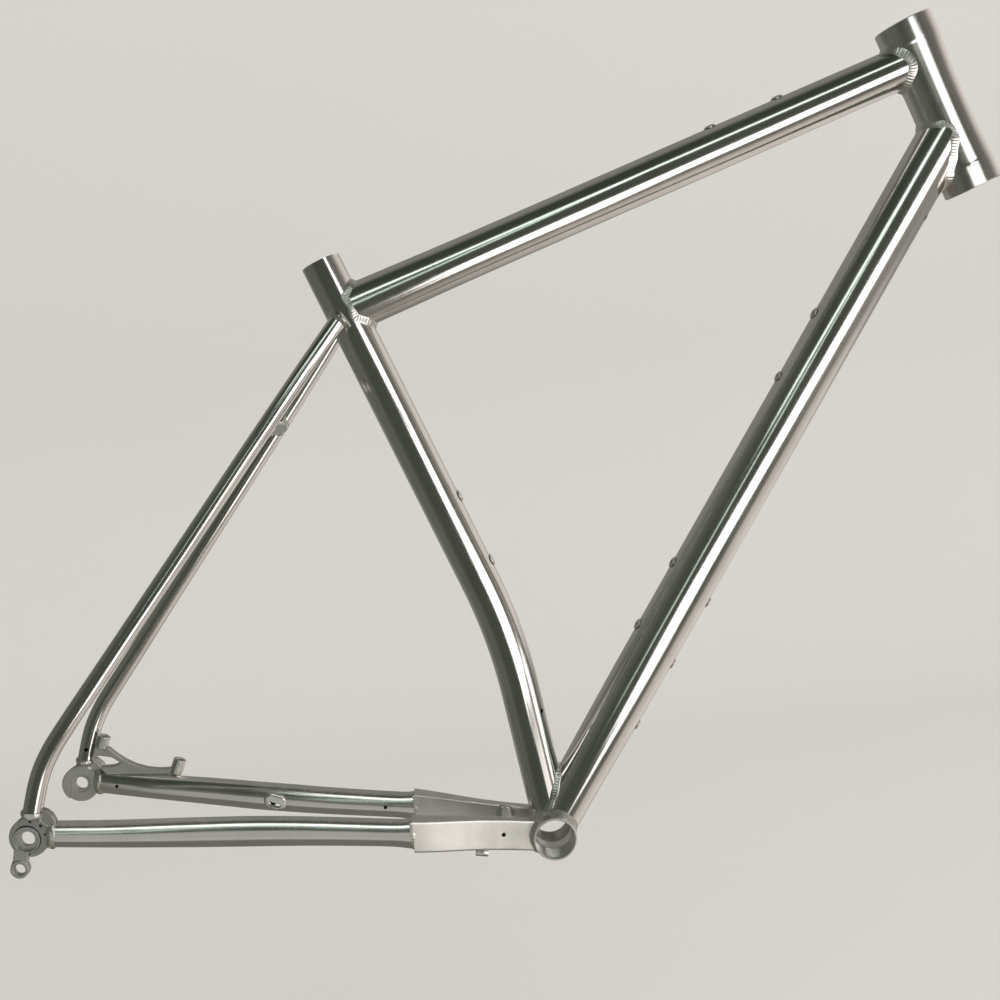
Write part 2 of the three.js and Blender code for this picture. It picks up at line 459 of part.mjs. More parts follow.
// replaceable derailleur hanger, seated in the right dropout
{
  const x0 = AXLE[0], z0 = AXLE[1];
  const ring = rod(V(x0, -74.3, z0), V(x0, -80, z0), 11.3, 28);
  const eye = V(-449.4, 0, 44.4);
  const arm = plate([[x0 - 10.8, z0 - 3], [x0 + 2.2, z0 - 3], [x0 + 0.2, z0 - 12.5], [x0 - 1.4, z0 - 18.5], [x0 - 3.8, z0 - 23.2], [x0 - 15.6, z0 - 20.6], [x0 - 13.0, z0 - 15.4], [x0 - 11.8, z0 - 10]], -80, -74.3);
  const lug = rod(V(eye.x, -73.4, eye.z), V(eye.x, -80.6, eye.z), 7.6, 22);
  let h = ring.add(arm).add(lug);
  h = h.subtract(rod(V(x0, -76.4, z0), V(x0, -90, z0), 9.8, 24)).subtract(rod(V(x0, -60, z0), V(x0, -90, z0), AXLE_R, 20));
  h = h.subtract(rod(V(eye.x, -60, eye.z), V(eye.x, -90, eye.z), 4.6, 18));
  add('derailleur_hanger', largest(h), MACHINED);
}

export default group;
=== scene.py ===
import math

import bpy
import numpy as np
from mathutils import Matrix, Vector


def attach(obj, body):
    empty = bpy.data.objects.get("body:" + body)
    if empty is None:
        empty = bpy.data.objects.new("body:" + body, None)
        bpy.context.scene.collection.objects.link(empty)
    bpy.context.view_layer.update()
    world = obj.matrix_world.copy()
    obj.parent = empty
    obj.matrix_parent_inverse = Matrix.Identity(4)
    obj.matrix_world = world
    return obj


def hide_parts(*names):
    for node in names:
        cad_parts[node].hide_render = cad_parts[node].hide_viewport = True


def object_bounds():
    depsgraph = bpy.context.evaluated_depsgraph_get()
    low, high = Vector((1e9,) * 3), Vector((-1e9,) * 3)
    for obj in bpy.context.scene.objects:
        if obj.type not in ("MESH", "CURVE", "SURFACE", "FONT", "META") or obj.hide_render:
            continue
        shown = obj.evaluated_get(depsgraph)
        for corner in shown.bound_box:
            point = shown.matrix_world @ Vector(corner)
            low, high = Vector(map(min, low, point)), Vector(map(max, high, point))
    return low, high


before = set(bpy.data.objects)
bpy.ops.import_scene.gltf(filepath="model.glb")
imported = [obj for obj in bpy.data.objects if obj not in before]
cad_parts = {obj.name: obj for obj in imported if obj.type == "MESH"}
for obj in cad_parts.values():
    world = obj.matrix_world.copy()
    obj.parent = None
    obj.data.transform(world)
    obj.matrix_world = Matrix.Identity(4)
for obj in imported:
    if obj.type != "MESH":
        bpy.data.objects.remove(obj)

cad_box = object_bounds()
MM = 0.001
LIMIT_LO, LIMIT_HI = np.array(cad_box[0]) / MM, np.array(cad_box[1]) / MM

# ------------------------------------------------------------------ dimensions, mm
HT_TOP = np.array([376.6, 0, 680.0]); HT_BOTTOM = np.array([429.5, 0, 532.9])
HT_END_R, HT_WAIST_R, HT_BORE_R, HT_BORE_DEPTH, HT_WAIST_BORE_R = 25.0, 22.7, 22.0, 16, 20.2
ST_TOP = np.array([-150.6, 0, 525.6])
ST_UPPER_SLOPE, ST_LOWER_SLOPE, ST_KINK_Z, ST_BEND_HALF, ST_R, ST_WALL = -0.3704, -0.1320, 181.1, 54.0, 17.45, 1.65
TT_Z0, TT_SLOPE, DT_Z0, DT_SLOPE = 524.0, 0.3173, 1.77, 1.4245
BB_R, BB_HALF, BB_THREAD_R, BB_RELIEF_R, BB_THREAD_LEN = 19.3, 34.0, 16.95, 17.8, 24.0
AX, AZ = -440.8, 68.6
CS_PATH = [
    [-423.0, 71.6, 69.2, 10.9, 10.6], [-376.4, 64.6, 61.2, 11.4, 10.9], [-315.0, 55.4, 51.7, 12.5, 10.9],
    [-268.0, 47.8, 44.3, 13.0, 10.8], [-240.0, 44.2, 40.0, 12.9, 10.8], [-204.1, 40.7, 34.3, 12.5, 10.8],
    [-146.0, 37.7, 25.1, 12.0, 10.7], [-136.0, 37.4, 23.4, 12.2, 10.5], [-120.0, 36.9, 20.7, 13.7, 10.1]]
SS_PATH = [
    [-434.6, 75.0, 88.6, 8.0], [-426.6, 75.3, 113.0, 8.0], [-420.6, 75.5, 126.6, 7.9],
    [-410.6, 75.5, 142.6, 7.8], [-396.5, 74.9, 160.4, 7.7], [-379.8, 73.2, 180.6, 7.6], [-350.0, 67.8, 216.8, 7.4],
    [-275.4, 55.4, 307.2, 7.3], [-222.4, 47.0, 371.5, 7.3], [-169.3, 33.8, 435.9, 7.3], [-135.0, 20.4, 477.5, 7.3]]
YOKE_PLAN = [[-124, 47.2, 27.0], [-108, 43.7, 25.2], [-87, 36.6, 21.2], [-66, 30.2, 17.6], [-42.5, 25.7, 14.6], [-8, 22.4, 12.4]]
YOKE_TOP = [[-124, 35.2], [-8, 13.4]]
YOKE_HEIGHT = 28.2
CS_BRIDGE = [-41.5, 12.0, 6.4]
SS_BRIDGE = [-208.5, 387.5, 7.0]
POST_REAR = np.array([-411.5, 67.5, 113.3]); POST_FRONT = np.array([-343.7, 67.5, 82.6]); POST_R = 5.9
DT_BOSSES_UPPER = [198.3, 262.3, 452.8, 516.8]
DT_BOSSES_LOWER = [118.2, 182.2, 246.2]


def unit(v):
    v = np.asarray(v, float)
    return v / np.maximum(np.linalg.norm(v, axis=-1, keepdims=True), 1e-12)


def ease(t):
    t = np.clip(t, 0, 1)
    return t * t * (3 - 2 * t)


# ------------------------------------------------------------------ mesh making
made = {}


def put(name, verts, faces, material, nodes=(), uv=None, attrs=None, angle=38):
    """A mesh object from vertices in mm, riding on the frame's one body."""
    me = bpy.data.meshes.new(name)
    verts = np.clip(np.asarray(verts, float), LIMIT_LO, LIMIT_HI)      # nothing stands outside the part's own box
    me.from_pydata((verts * MM).tolist(), [], faces if isinstance(faces, list) else faces.tolist())
    me.update()
    if uv is not None:
        layer = me.uv_layers.new(name="strip")
        layer.data.foreach_set("uv", np.asarray(uv, np.float32).ravel())
    for k, v in (attrs or {}).items():
        a = me.attributes.new(k, "FLOAT", "POINT")
        a.data.foreach_set("value", np.asarray(v, np.float32).ravel())
    ob = bpy.data.objects.new(name, me)
    bpy.context.scene.collection.objects.link(ob)
    finish_mesh(ob, angle)
    me.materials.append(material)
    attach(ob, "root")
    if nodes:
        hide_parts(*nodes)
    made[name] = ob
    return ob


def finish_mesh(ob, angle):
    me = ob.data
    me.polygons.foreach_set("use_smooth", np.ones(len(me.polygons), bool))
    me.set_sharp_from_angle(angle=math.radians(angle))
    me.update()


def ring_faces(rows, n, wrap_rows=True):
    """Quads of a grid of rows of n points, closed round each row and, if asked, from the last row to the first."""
    r = rows if wrap_rows else rows - 1
    i, j = np.meshgrid(np.arange(r), np.arange(n), indexing="ij")
    a = i * n + j
    b = i * n + (j + 1) % n
    c = ((i + 1) % rows) * n + (j + 1) % n
    d = ((i + 1) % rows) * n + j
    return np.stack([a, b, c, d], -1).reshape(-1, 4), i.reshape(-1), j.reshape(-1)


def skin(name, grid, material, nodes=(), heat=None, flip=False, angle=38, length=None, girth=100.0):
    """A closed ring of rows: grid is rows x n x 3, and the last row joins the first."""
    grid = np.asarray(grid, float)
    rows, n, _ = grid.shape
    faces, i, j = ring_faces(rows, n)
    mid = grid.mean(1)
    along = np.concatenate([[0], np.cumsum(np.linalg.norm(np.diff(mid, axis=0), axis=1) + 1e-3)])
    if length is not None:
        along = np.asarray(length, float)
    u0 = along[i]
    u1 = along[np.minimum(i + 1, rows - 1)]
    v0 = j / n * girth
    v1 = (j + 1) / n * girth
    uv = np.stack([np.stack([u0, v0], -1), np.stack([u0, v1], -1), np.stack([u1, v1], -1), np.stack([u1, v0], -1)], 1)
    if flip:
        faces, uv = faces[:, ::-1], uv[:, ::-1]
    attrs = {"heat": np.zeros(rows * n) if heat is None else np.asarray(heat, float).reshape(-1)}
    return put(name, grid.reshape(-1, 3), faces, material, nodes, uv.reshape(-1, 2), attrs, angle)


def volume_sign(grid):
    g = np.asarray(grid, float)
    f, _, _ = ring_faces(g.shape[0], g.shape[1])
    p = g.reshape(-1, 3)
    a, b, c, d = (p[f[:, k]] for k in range(4))
    return np.sum(np.cross(a, b) * c) + np.sum(np.cross(a, c) * d)


class Path:
    """A centre line with an elliptical section: first half axis square to Y, second near Y."""

    def __init__(self, rows, step=2.0, smooth=True):
        r = np.array([list(q) + ([q[3]] if len(q) == 4 else []) for q in rows], float)
        if smooth and len(r) > 2:
            out = []
            ext = np.vstack([2 * r[0] - r[1], r, 2 * r[-1] - r[-2]])
            for k in range(1, len(ext) - 2):
                p0, p1, p2, p3 = ext[k - 1], ext[k], ext[k + 1], ext[k + 2]
                d = [max(np.linalg.norm(q[:3]), 1e-6) ** 0.5 for q in (p1 - p0, p2 - p1, p3 - p2)]
                t0, t1 = 0.0, d[0]; t2 = t1 + d[1]; t3 = t2 + d[2]
                m = max(2, int(np.linalg.norm((p2 - p1)[:3]) / step))
                for t in np.linspace(t1, t2, m, endpoint=False):
                    a1 = (t1 - t) / (t1 - t0) * p0 + (t - t0) / (t1 - t0) * p1
                    a2 = (t2 - t) / (t2 - t1) * p1 + (t - t1) / (t2 - t1) * p2
                    a3 = (t3 - t) / (t3 - t2) * p2 + (t - t2) / (t3 - t2) * p3
                    b1 = (t2 - t) / (t2 - t0) * a1 + (t - t0) / (t2 - t0) * a2
                    b2 = (t3 - t) / (t3 - t1) * a2 + (t - t1) / (t3 - t1) * a3
                    out.append((t2 - t) / (t2 - t1) * b1 + (t - t1) / (t2 - t1) * b2)
            out.append(r[-1])
            r = np.array(out)
        else:
            out = []
            for a, b in zip(r[:-1], r[1:]):
                m = max(2, int(np.linalg.norm((b - a)[:3]) / step))
                out += [a + (b - a) * k / m for k in range(m)]
            r = np.array(out + [r[-1]])
        self.p, self.a, self.b = r[:, :3], r[:, 3], r[:, 4]
        self.s = np.concatenate([[0], np.cumsum(np.linalg.norm(np.diff(self.p, axis=0), axis=1))])
        self.length = self.s[-1]
        t = np.gradient(self.p, self.s, axis=0)
        self.t = unit(t)
        across = np.cross(np.array([0.0, 1.0, 0.0]), self.t)
        self.n = unit(np.where(np.linalg.norm(across, axis=1, keepdims=True) < 1e-6, np.array([1.0, 0.0, 0.0]), across))
        self.bn = np.cross(self.t, self.n)

    def at(self, s, arr):
        s = np.asarray(s, float)
        if arr.ndim == 1:
            return np.interp(s, self.s, arr)
        return np.stack([np.interp(s, self.s, arr[:, k]) for k in range(arr.shape[1])], -1)

    def centre(self, s):
        s = np.asarray(s, float)
        c = self.at(s, self.p)
        over = np.clip(s - self.length, 0, None)[..., None]
        under = np.clip(s, None, 0)[..., None]
        return c + over * self.t[-1] + under * self.t[0]

    def point(self, s, th, off=0.0):
        c = self.centre(s)
        a = self.at(s, self.a) + off
        b = self.at(s, self.b) + off
        return c + self.at(s, self.n) * (np.cos(th) * a)[..., None] + self.at(s, self.bn) * (np.sin(th) * b)[..., None]

    def normal(self, s, th):
        a, b = self.at(s, self.a), self.at(s, self.b)
        return unit(self.at(s, self.n) * (np.cos(th) / a)[..., None] + self.at(s, self.bn) * (np.sin(th) / b)[..., None])

    def sd(self, x):
        x = np.asarray(x, float)
        shape = x.shape[:-1]
        q = x.reshape(-1, 3)
        out = np.empty(len(q))
        step = max(1, len(self.p) // 220)
        idx = np.arange(0, len(self.p), step)
        if idx[-1] != len(self.p) - 1:
            idx = np.append(idx, len(self.p) - 1)
        P = self.p[idx]
        for k in range(0, len(q), 20000):
            c = q[k:k + 20000]
            d2 = ((c ** 2).sum(1)[:, None] - 2 * c @ P.T + (P ** 2).sum(1)[None])
            j = idx[d2.argmin(1)]
            d = c - self.p[j]
            tt = (d * self.t[j]).sum(1)
            s = np.clip(self.s[j] + tt, 0, self.length)
            d = c - self.centre(s)
            nn, bb, t = self.at(s, self.n), self.at(s, self.bn), self.at(s, self.t)
            a, b = self.at(s, self.a), self.at(s, self.b)
            u, v, w = (d * nn).sum(1), (d * bb).sum(1), (d * t).sum(1)
            rho = np.sqrt((u / a) ** 2 + (v / b) ** 2)
            side = (rho - 1) * np.minimum(a, b)
            out[k:k + 20000] = np.where(np.abs(w) < 0.02, side, np.maximum(side, np.abs(w)))
        return out.reshape(shape)


def trim(path, sd, s_in, s_out, th, off=0.0, gap=0.05, k=240):
    """For each angle, how far the tube's line runs from s_in towards s_out before it meets the other piece."""
    S = np.linspace(s_in, s_out, k)
    pts = path.point(np.repeat(S[:, None], len(th), 1), np.repeat(th[None], k, 0), off)
    inside = sd(pts) < gap
    first = np.where(inside.any(0), inside.argmax(0), k - 1)
    lo, hi = S[np.maximum(first - 1, 0)], S[first]
    for _ in range(14):
        mid = (lo + hi) / 2
        bad = sd(path.point(mid, th, off)) < gap
        hi = np.where(bad, mid, hi)
        lo = np.where(bad, lo, mid)
    return lo


def grad(sd, p, e=0.05):
    return unit(np.stack([sd(p + d) - sd(p - d) for d in np.eye(3) * e], -1))


def ht_flare(h):
    """Plain end rings, a small turned step, then a long shallow waist."""
    L = np.linalg.norm(HT_TOP - HT_BOTTOM)
    e = np.minimum(h, L - h)
    waist = HT_WAIST_R + 2.15 * np.clip(np.abs(2 * h - L) / (L - 38), 0, 1) ** 2.3
    return np.where(e < 19.0, HT_END_R, HT_END_R + (waist - HT_END_R) * ease((e - 19.0) / 3.2))


HT_UP = unit(HT_TOP - HT_BOTTOM); HT_LEN = float(np.linalg.norm(HT_TOP - HT_BOTTOM))


def sd_head(x):
    d = x - HT_BOTTOM
    h = d @ HT_UP
    r = np.linalg.norm(d - h[..., None] * HT_UP, axis=-1)
    return np.maximum(r - ht_flare(h), np.maximum(-h, h - HT_LEN))


def sd_bb(x):
    return np.maximum(np.hypot(x[..., 0], x[..., 2]) - BB_R, np.abs(x[..., 1]) - BB_HALF)


# seat tube centre line
k0 = np.array([0.93 + ST_LOWER_SLOPE * ST_KINK_Z, 0, ST_KINK_Z])
up_, low_ = unit([ST_UPPER_SLOPE, 0, 1]), unit([ST_LOWER_SLOPE, 0, 1])
b0, b2 = k0 - low_ * ST_BEND_HALF, k0 + up_ * ST_BEND_HALF
st_rows = [[0.93, 0, 0, ST_R]]
for t in np.linspace(0, 1, 40):
    p = (1 - t) ** 2 * b0 + 2 * t * (1 - t) * k0 + t * t * b2
    st_rows.append([*p, ST_R])
st_rows.append([*ST_TOP, ST_R])
ST = Path(st_rows, 3.0, smooth=False)
TT = Path([[x, 0, TT_Z0 + TT_SLOPE * x, a, b] for x, a, b in [(-134, 20.6, 18.4), (-95, 20.1, 18.5), (-20, 19.2, 18.9), (250, 18.8, 18.9), (388, 18.4, 18.9)]], 3.0)
DT = Path([[x, 0, DT_Z0 + DT_SLOPE * x, a, b] for x, a, b in [(2, 20.6, 24.0), (30, 20.8, 23.9), (75, 22.0, 22.9), (120, 22.5, 22.3), (409, 22.3, 22.3)]], 3.0)
CS = {s: Path([[r[0], s * r[1], r[2], r[3], r[4]] for r in CS_PATH], 1.5) for s in (-1, 1)}
SS = {s: Path([[r[0], s * r[1], r[2], r[3]] for r in SS_PATH], 1.5) for s in (-1, 1)}


# ------------------------------------------------------------------ procedural materials
def socket(node, name):
    return node.inputs[name]


def metal(name, base, rough, streak=0.0, bump=0.02, scale=1.0, wear_and_rim_highlight=0.25, metallic=1.0, streak_bump=0.0, grain=900.0, heat=True, mottle=0.06, painted_bore_shade=False):
    m = bpy.data.materials.new(name)
    m.use_nodes = True
    nt = m.node_tree
    N, L = nt.nodes, nt.links
    b = N["Principled BSDF"]
    b.inputs["Metallic"].default_value = metallic
    tex = N.new("ShaderNodeTexCoord")
    uv = N.new("ShaderNodeUVMap"); uv.uv_map = "strip"

    def noise(vec, sc, detail, rough_=0.6):
        n = N.new("ShaderNodeTexNoise"); n.inputs["Scale"].default_value = sc
        n.inputs["Detail"].default_value = detail; n.inputs["Roughness"].default_value = rough_
        L.new(vec, n.inputs["Vector"]); return n.outputs["Fac"]

    def ramp(fac, lo, hi, a, c):
        r = N.new("ShaderNodeMapRange"); r.inputs["From Min"].default_value = lo; r.inputs["From Max"].default_value = hi
        r.inputs["To Min"].default_value = a; r.inputs["To Max"].default_value = c
        L.new(fac, r.inputs["Value"]); return r.outputs["Result"]

    def mix(fac, a, c, mode="MIX"):
        x = N.new("ShaderNodeMix"); x.data_type = "RGBA"; x.blend_type = mode
        for k, v in ((0, fac), (6, a), (7, c)):
            if hasattr(v, "links") or hasattr(v, "is_linked"):
                L.new(v, x.inputs[k])
            else:
                x.inputs[k].default_value = v
        return x.outputs[2]

    def op(kind, a, c):
        x = N.new("ShaderNodeMath"); x.operation = kind
        for k, v in ((0, a), (1, c)):
            if hasattr(v, "is_linked"):
                L.new(v, x.inputs[k])
            else:
                x.inputs[k].default_value = v
        return x.outputs[0]

    obj = tex.outputs["Object"]
    cloud = noise(obj, 22 * scale, 4)
    fine = noise(obj, grain * scale, 3)
    col = mix(ramp(cloud, 0.35, 0.65, 0.0, 1.0), (*[c * (1 - mottle) for c in base], 1), (*[min(1, c * (1 + mottle)) for c in base], 1))
    r = op("ADD", ramp(cloud, 0.3, 0.7, rough * 0.9, rough * 1.12), ramp(fine, 0.3, 0.7, -0.02, 0.02))
    height = op("MULTIPLY", fine, bump)
    if streak:
        mp = N.new("ShaderNodeMapping"); L.new(uv.outputs["UV"], mp.inputs["Vector"])
        mp.inputs["Scale"].default_value = (0.02, 1.6, 1)
        st = noise(mp.outputs["Vector"], 1.0, 5, 0.65)
        r = op("ADD", r, ramp(st, 0.3, 0.7, -streak, streak))
        col = mix(0.25, col, mix(ramp(st, 0.35, 0.7, 0.0, 1.0), (*[c * 0.86 for c in base], 1), (*[min(1, c * 1.08) for c in base], 1)))
        height = op("ADD", height, op("MULTIPLY", st, streak_bump))
    # edges made lighter and glossier by Pointiness: partly rubbed wear, partly a painted rim highlight
    if wear_and_rim_highlight:
        geo = N.new("ShaderNodeNewGeometry")
        edge = ramp(geo.outputs["Pointiness"], 0.52, 0.60, 0.0, wear_and_rim_highlight)
        col = mix(edge, col, (0.92, 0.90, 0.87, 1))
        r = op("MULTIPLY", r, ramp(edge, 0.0, 1.0, 1.0, 0.55))
    if heat:
        at = N.new("ShaderNodeAttribute"); at.attribute_name = "heat"
        h = at.outputs["Fac"]
        tint = N.new("ShaderNodeValToRGB"); e = tint.color_ramp.elements
        e[0].position, e[0].color = 0.0, (1, 1, 1, 1)
        e[1].position, e[1].color = 1.0, (0.80, 0.76, 0.72, 1)
        k = tint.color_ramp.elements.new(0.5); k.color = (0.95, 0.86, 0.72, 1)
        k = tint.color_ramp.elements.new(0.8); k.color = (0.78, 0.74, 0.86, 1)
        L.new(h, tint.inputs["Fac"])
        col = mix(0.55, col, tint.outputs["Color"], "MULTIPLY")
        r = op("ADD", r, ramp(h, 0.0, 1.0, 0.0, 0.08))
    # painted shade: where the attribute is 1, on the shell's threaded bore, the colour goes near-black and rougher
    if painted_bore_shade:
        at = N.new("ShaderNodeAttribute"); at.attribute_name = "heat"
        col = mix(at.outputs["Fac"], col, (0.115, 0.11, 0.10, 1))
        r = op("ADD", r, ramp(at.outputs["Fac"], 0.0, 1.0, 0.0, 0.22))
    L.new(col, b.inputs["Base Color"])
    cl = N.new("ShaderNodeClamp"); cl.inputs["Min"].default_value = 0.06; cl.inputs["Max"].default_value = 0.9
    L.new(r, cl.inputs["Value"]); L.new(cl.outputs[0], b.inputs["Roughness"])
    bp = N.new("ShaderNodeBump"); bp.inputs["Distance"].default_value = 0.0002; bp.inputs["Strength"].default_value = 0.6
    L.new(height, bp.inputs["Height"]); L.new(bp.outputs["Normal"], b.inputs["Normal"])
    return m


TUBE = metal("titanium_polished", (0.74, 0.725, 0.70), 0.135, streak=0.03, bump=0.05, streak_bump=0.10)
STAY = metal("titanium_stay", (0.75, 0.735, 0.705), 0.20, streak=0.04, bump=0.07, streak_bump=0.12)
SATIN = metal("titanium_satin", (0.76, 0.73, 0.695), 0.40, streak=0.03, bump=0.16, streak_bump=0.15, wear_and_rim_highlight=0.3, mottle=0.17)
HEAD = metal("titanium_turned", (0.74, 0.715, 0.69), 0.20, streak=0.03, bump=0.05, streak_bump=0.12)
MACH = metal("titanium_machined", (0.56, 0.55, 0.52), 0.42, bump=0.25, wear_and_rim_highlight=0.55, grain=700, heat=False, mottle=0.08)
POST = metal("titanium_post", (0.66, 0.65, 0.62), 0.24, bump=0.15, wear_and_rim_highlight=0.6, heat=False)
# a darker copy of the machined titanium, used for the right dropout only: painted shade
MACH_SHADED = metal("titanium_machined_shaded", (0.42, 0.415, 0.40), 0.40, bump=0.25, wear_and_rim_highlight=0.8, grain=700, heat=False, mottle=0.08)
ALU = metal("aluminium_anodised", (0.50, 0.50, 0.485), 0.38, bump=0.2, wear_and_rim_highlight=0.6, grain=800, heat=False)
BRIGHT = metal("titanium_faced", (0.80, 0.785, 0.76), 0.16, bump=0.05, wear_and_rim_highlight=0.35, heat=False)
# this material paints shade into the shell's threaded bore
SHELL = metal("titanium_shell", (0.78, 0.755, 0.72), 0.34, bump=0.10, wear_and_rim_highlight=0.5, heat=False, painted_bore_shade=True)
BEAD = metal("weld_bead", (0.74, 0.72, 0.685), 0.29, bump=0.06, wear_and_rim_highlight=0.0, scale=1.6, heat=True)

# ------------------------------------------------------------------ tubes
NTH = 128
TH = np.arange(NTH) / NTH * 2 * np.pi


def shell_grid(path, s0, s1, th, i0, i1, wall, cuts=90):
    """Outer skin from s0 to s1, then the inner skin back from i1 to i0; each is one value per angle."""
    w = np.linspace(0, 1, cuts)
    w = np.unique(np.concatenate([w, np.linspace(0, 0.03, 6), np.linspace(0.97, 1, 6)]))
    S = s0[None] + (s1 - s0)[None] * w[:, None]
    T = np.repeat(th[None], len(w), 0)
    outer = path.point(S, T)
    w2 = w[::-1]
    S2 = i0[None] + (i1 - i0)[None] * w2[:, None]
    inner = path.point(S2, T, -wall)
    return np.concatenate([outer, inner]), np.concatenate([S, S2])


def heat_of(S, ends, spread=9.0):
    d = np.min(np.stack([np.abs(S - e[None]) for e in ends]), 0)
    return np.exp(-(d / spread) ** 1.4)


def tube(name, path, wall, sd0=None, sd1=None, s_lo=0.0, s_hi=None, mat=None, cuts=90, spread=9.0, reach=8.0):
    s_hi = path.length if s_hi is None else s_hi
    mid = (s_lo + s_hi) / 2
    def ends(off):
        a = trim(path, sd0, mid, s_lo - reach, TH, off) if sd0 else np.full(NTH, s_lo)
        b = trim(path, sd1, mid, s_hi + reach, TH, off) if sd1 else np.full(NTH, s_hi)
        return a, b
    s0, s1 = ends(0.0)
    i0, i1 = ends(-wall)
    grid, S = shell_grid(path, s0, s1, TH, i0, i1, wall, cuts)
    hs = []
    if sd0: hs.append(s0)
    if sd1: hs.append(s1)
    heat = heat_of(S, hs, spread) if hs else np.zeros(S.shape)
    rows = len(S)
    along = S.mean(1)
    flip = volume_sign(grid) < 0
    girth = 2 * np.pi * float(np.mean(path.a))
    ob = skin(name, grid, mat or TUBE, (name,), heat, flip, 40, along, girth)
    return ob, s0, s1


def bead_loop(name, pts, na, nb, slot, width=4.2, height=0.45, pitch=2.0, sections=14, material=None, per=6, curve=20.0):
    """A fillet weld along a closed curve between two surfaces, rippled like a row of laid coins.
    na and nb are the two surfaces' normals along it; its toes run out on both surfaces, width apart."""
    pts = np.asarray(pts, float)
    q = np.vstack([pts, pts[:1]]); A = np.vstack([na, na[:1]]); B = np.vstack([nb, nb[:1]])
    s = np.concatenate([[0], np.cumsum(np.linalg.norm(np.diff(q, axis=0), axis=1))])
    L = s[-1]
    count = max(6, int(round(L / pitch)))
    m = count * per
    u = np.linspace(0, L, m, endpoint=False)
    def f(v):
        return np.stack([np.interp(u, s, v[:, k]) for k in range(3)], -1)
    p, A, B = f(q), unit(f(A)), unit(f(B))
    t = unit(np.roll(p, -1, 0) - np.roll(p, 1, 0))
    A = unit(A - (A * t).sum(1)[:, None] * t); B = unit(B - (B * t).sum(1)[:, None] * t)
    o = unit(A + B)
    side_ = np.cross(t, o)
    side_ *= np.sign((side_ * (B - A)).sum(1) + 1e-9)[:, None]            # towards the toe on surface A
    dot = (A * B).sum(1)
    k = np.clip((1 - dot) / 0.10, 0, 1)[:, None]
    dA = unit(k * unit(B - dot[:, None] * A + 1e-9) + (1 - k) * side_)
    dB = unit(k * unit(A - dot[:, None] * B + 1e-9) - (1 - k) * side_)
    ph = np.arange(m) / per
    leg = width / 2 * (1 + 0.10 * np.sin(ph * 0.9 + 1.3) + 0.07 * np.sin(ph * 0.37 + 0.5))
    sink = leg ** 2 / (2 * curve) + 0.22
    ea = p + dA * leg[:, None] - A * sink[:, None]
    eb = p + dB * leg[:, None] - B * sink[:, None]
    deep = p - o * (sink + 0.5)[:, None]
    ctrl = p + 0.26 * (dA + dB) * leg[:, None]
    top = sections - 3
    rows = []
    for c in range(top):
        w = c / (top - 1)
        b = (1 - w) ** 2 * ea + 2 * w * (1 - w) * ctrl + w ** 2 * eb
        lag = 0.55 * (2 * w - 1) ** 2
        saw = (ph + lag) % 1.0
        crown = math.sin(math.pi * w) ** 0.6
        rows.append(b + o * (crown * (height * 0.9 + height * ((1 - saw) ** 0.7)))[:, None])
    rows += [eb * 0.45 + deep * 0.55, deep, ea * 0.45 + deep * 0.55]
    grid = np.stack(rows, 1)
    n = sections
    faces, _, _ = ring_faces(m, n)
    if volume_sign(grid) < 0:
        faces = faces[:, ::-1]
    heat = 0.15 + 0.35 * (0.5 + 0.5 * np.sin(np.repeat(ph, n) * 0.23 + 2.0))
    return put(name, grid.reshape(-1, 3), faces, material or BEAD, (), np.zeros((len(faces) * 4, 2)), {"heat": heat}, 60)


def tube_bead(name, path, s_end, sd_other, slot, **kw):
    pts = path.point(s_end, TH)
    return bead_loop(name, pts, path.normal(s_end, TH), grad(sd_other, pts), slot, **kw)


def sd_min(*fs):
    return lambda x: np.minimum.reduce([f(x) for f in fs])


st_ob, st0, st1 = tube("seat_tube", ST, ST_WALL, sd_min(sd_bb, DT.sd), None)
ST_FWD = unit([1, 0, -ST_UPPER_SLOPE])


def tt_stop(x):
    """The seat tube, and beside it a plane a little ahead of its axis, because the top tube is the wider of the two."""
    return np.minimum(ST.sd(x), (x - ST_TOP) @ ST_FWD - 7.0)


tt_ob, tt0, tt1 = tube("top_tube", TT, 1.0, tt_stop, sd_head)
dt_ob, dt0, dt1 = tube("down_tube", DT, 1.0, sd_bb, sd_head)


# ------------------------------------------------------------------ distance fields for the machined pieces
def poly2(u, w, outline):
    """Signed distance to a flat outline."""
    P = np.asarray(outline, float)
    d = np.full(u.shape, 1e18)
    sgn = np.zeros(u.shape, int)
    for a, b in zip(P, np.roll(P, -1, 0)):
        e = b - a
        wu, ww = u - a[0], w - a[1]
        t = np.clip((wu * e[0] + ww * e[1]) / (e @ e), 0, 1)
        d = np.minimum(d, (wu - e[0] * t) ** 2 + (ww - e[1] * t) ** 2)
        c = ((a[1] <= w) != (b[1] <= w))
        with np.errstate(divide="ignore", invalid="ignore"):
            x = a[0] + (w - a[1]) * e[0] / (e[1] if e[1] else 1e-12)
        sgn += (c & (u < x)).astype(int)
    return np.where(sgn % 2 == 1, -1, 1) * np.sqrt(d)


def slab_sd(d2, y, y0, y1, r=0.6):
    """A flat shape of distance d2 filling y0..y1, edges rounded by r."""
    dy = np.abs(y - (y0 + y1) / 2) - (y1 - y0) / 2
    a, b = d2 + r, dy + r
    return np.minimum(np.maximum(a, b), 0) + np.hypot(np.maximum(a, 0), np.maximum(b, 0)) - r


def cyl_sd(x, a, b, rad, r=0.4):
    a, b = np.asarray(a, float), np.asarray(b, float)
    ax = unit(b - a)
    L = np.linalg.norm(b - a)
    h = (x - a) @ ax
    rr = np.linalg.norm(x - a - h[..., None] * ax, axis=-1) - rad
    return slab_sd(rr, h, 0, L, r)


def smin(a, b, k):
    h = np.clip(0.5 + 0.5 * (b - a) / k, 0, 1)
    return b * (1 - h) + a * h - k * h * (1 - h)


def smax(a, b, k):
    return -smin(-a, -b, k)


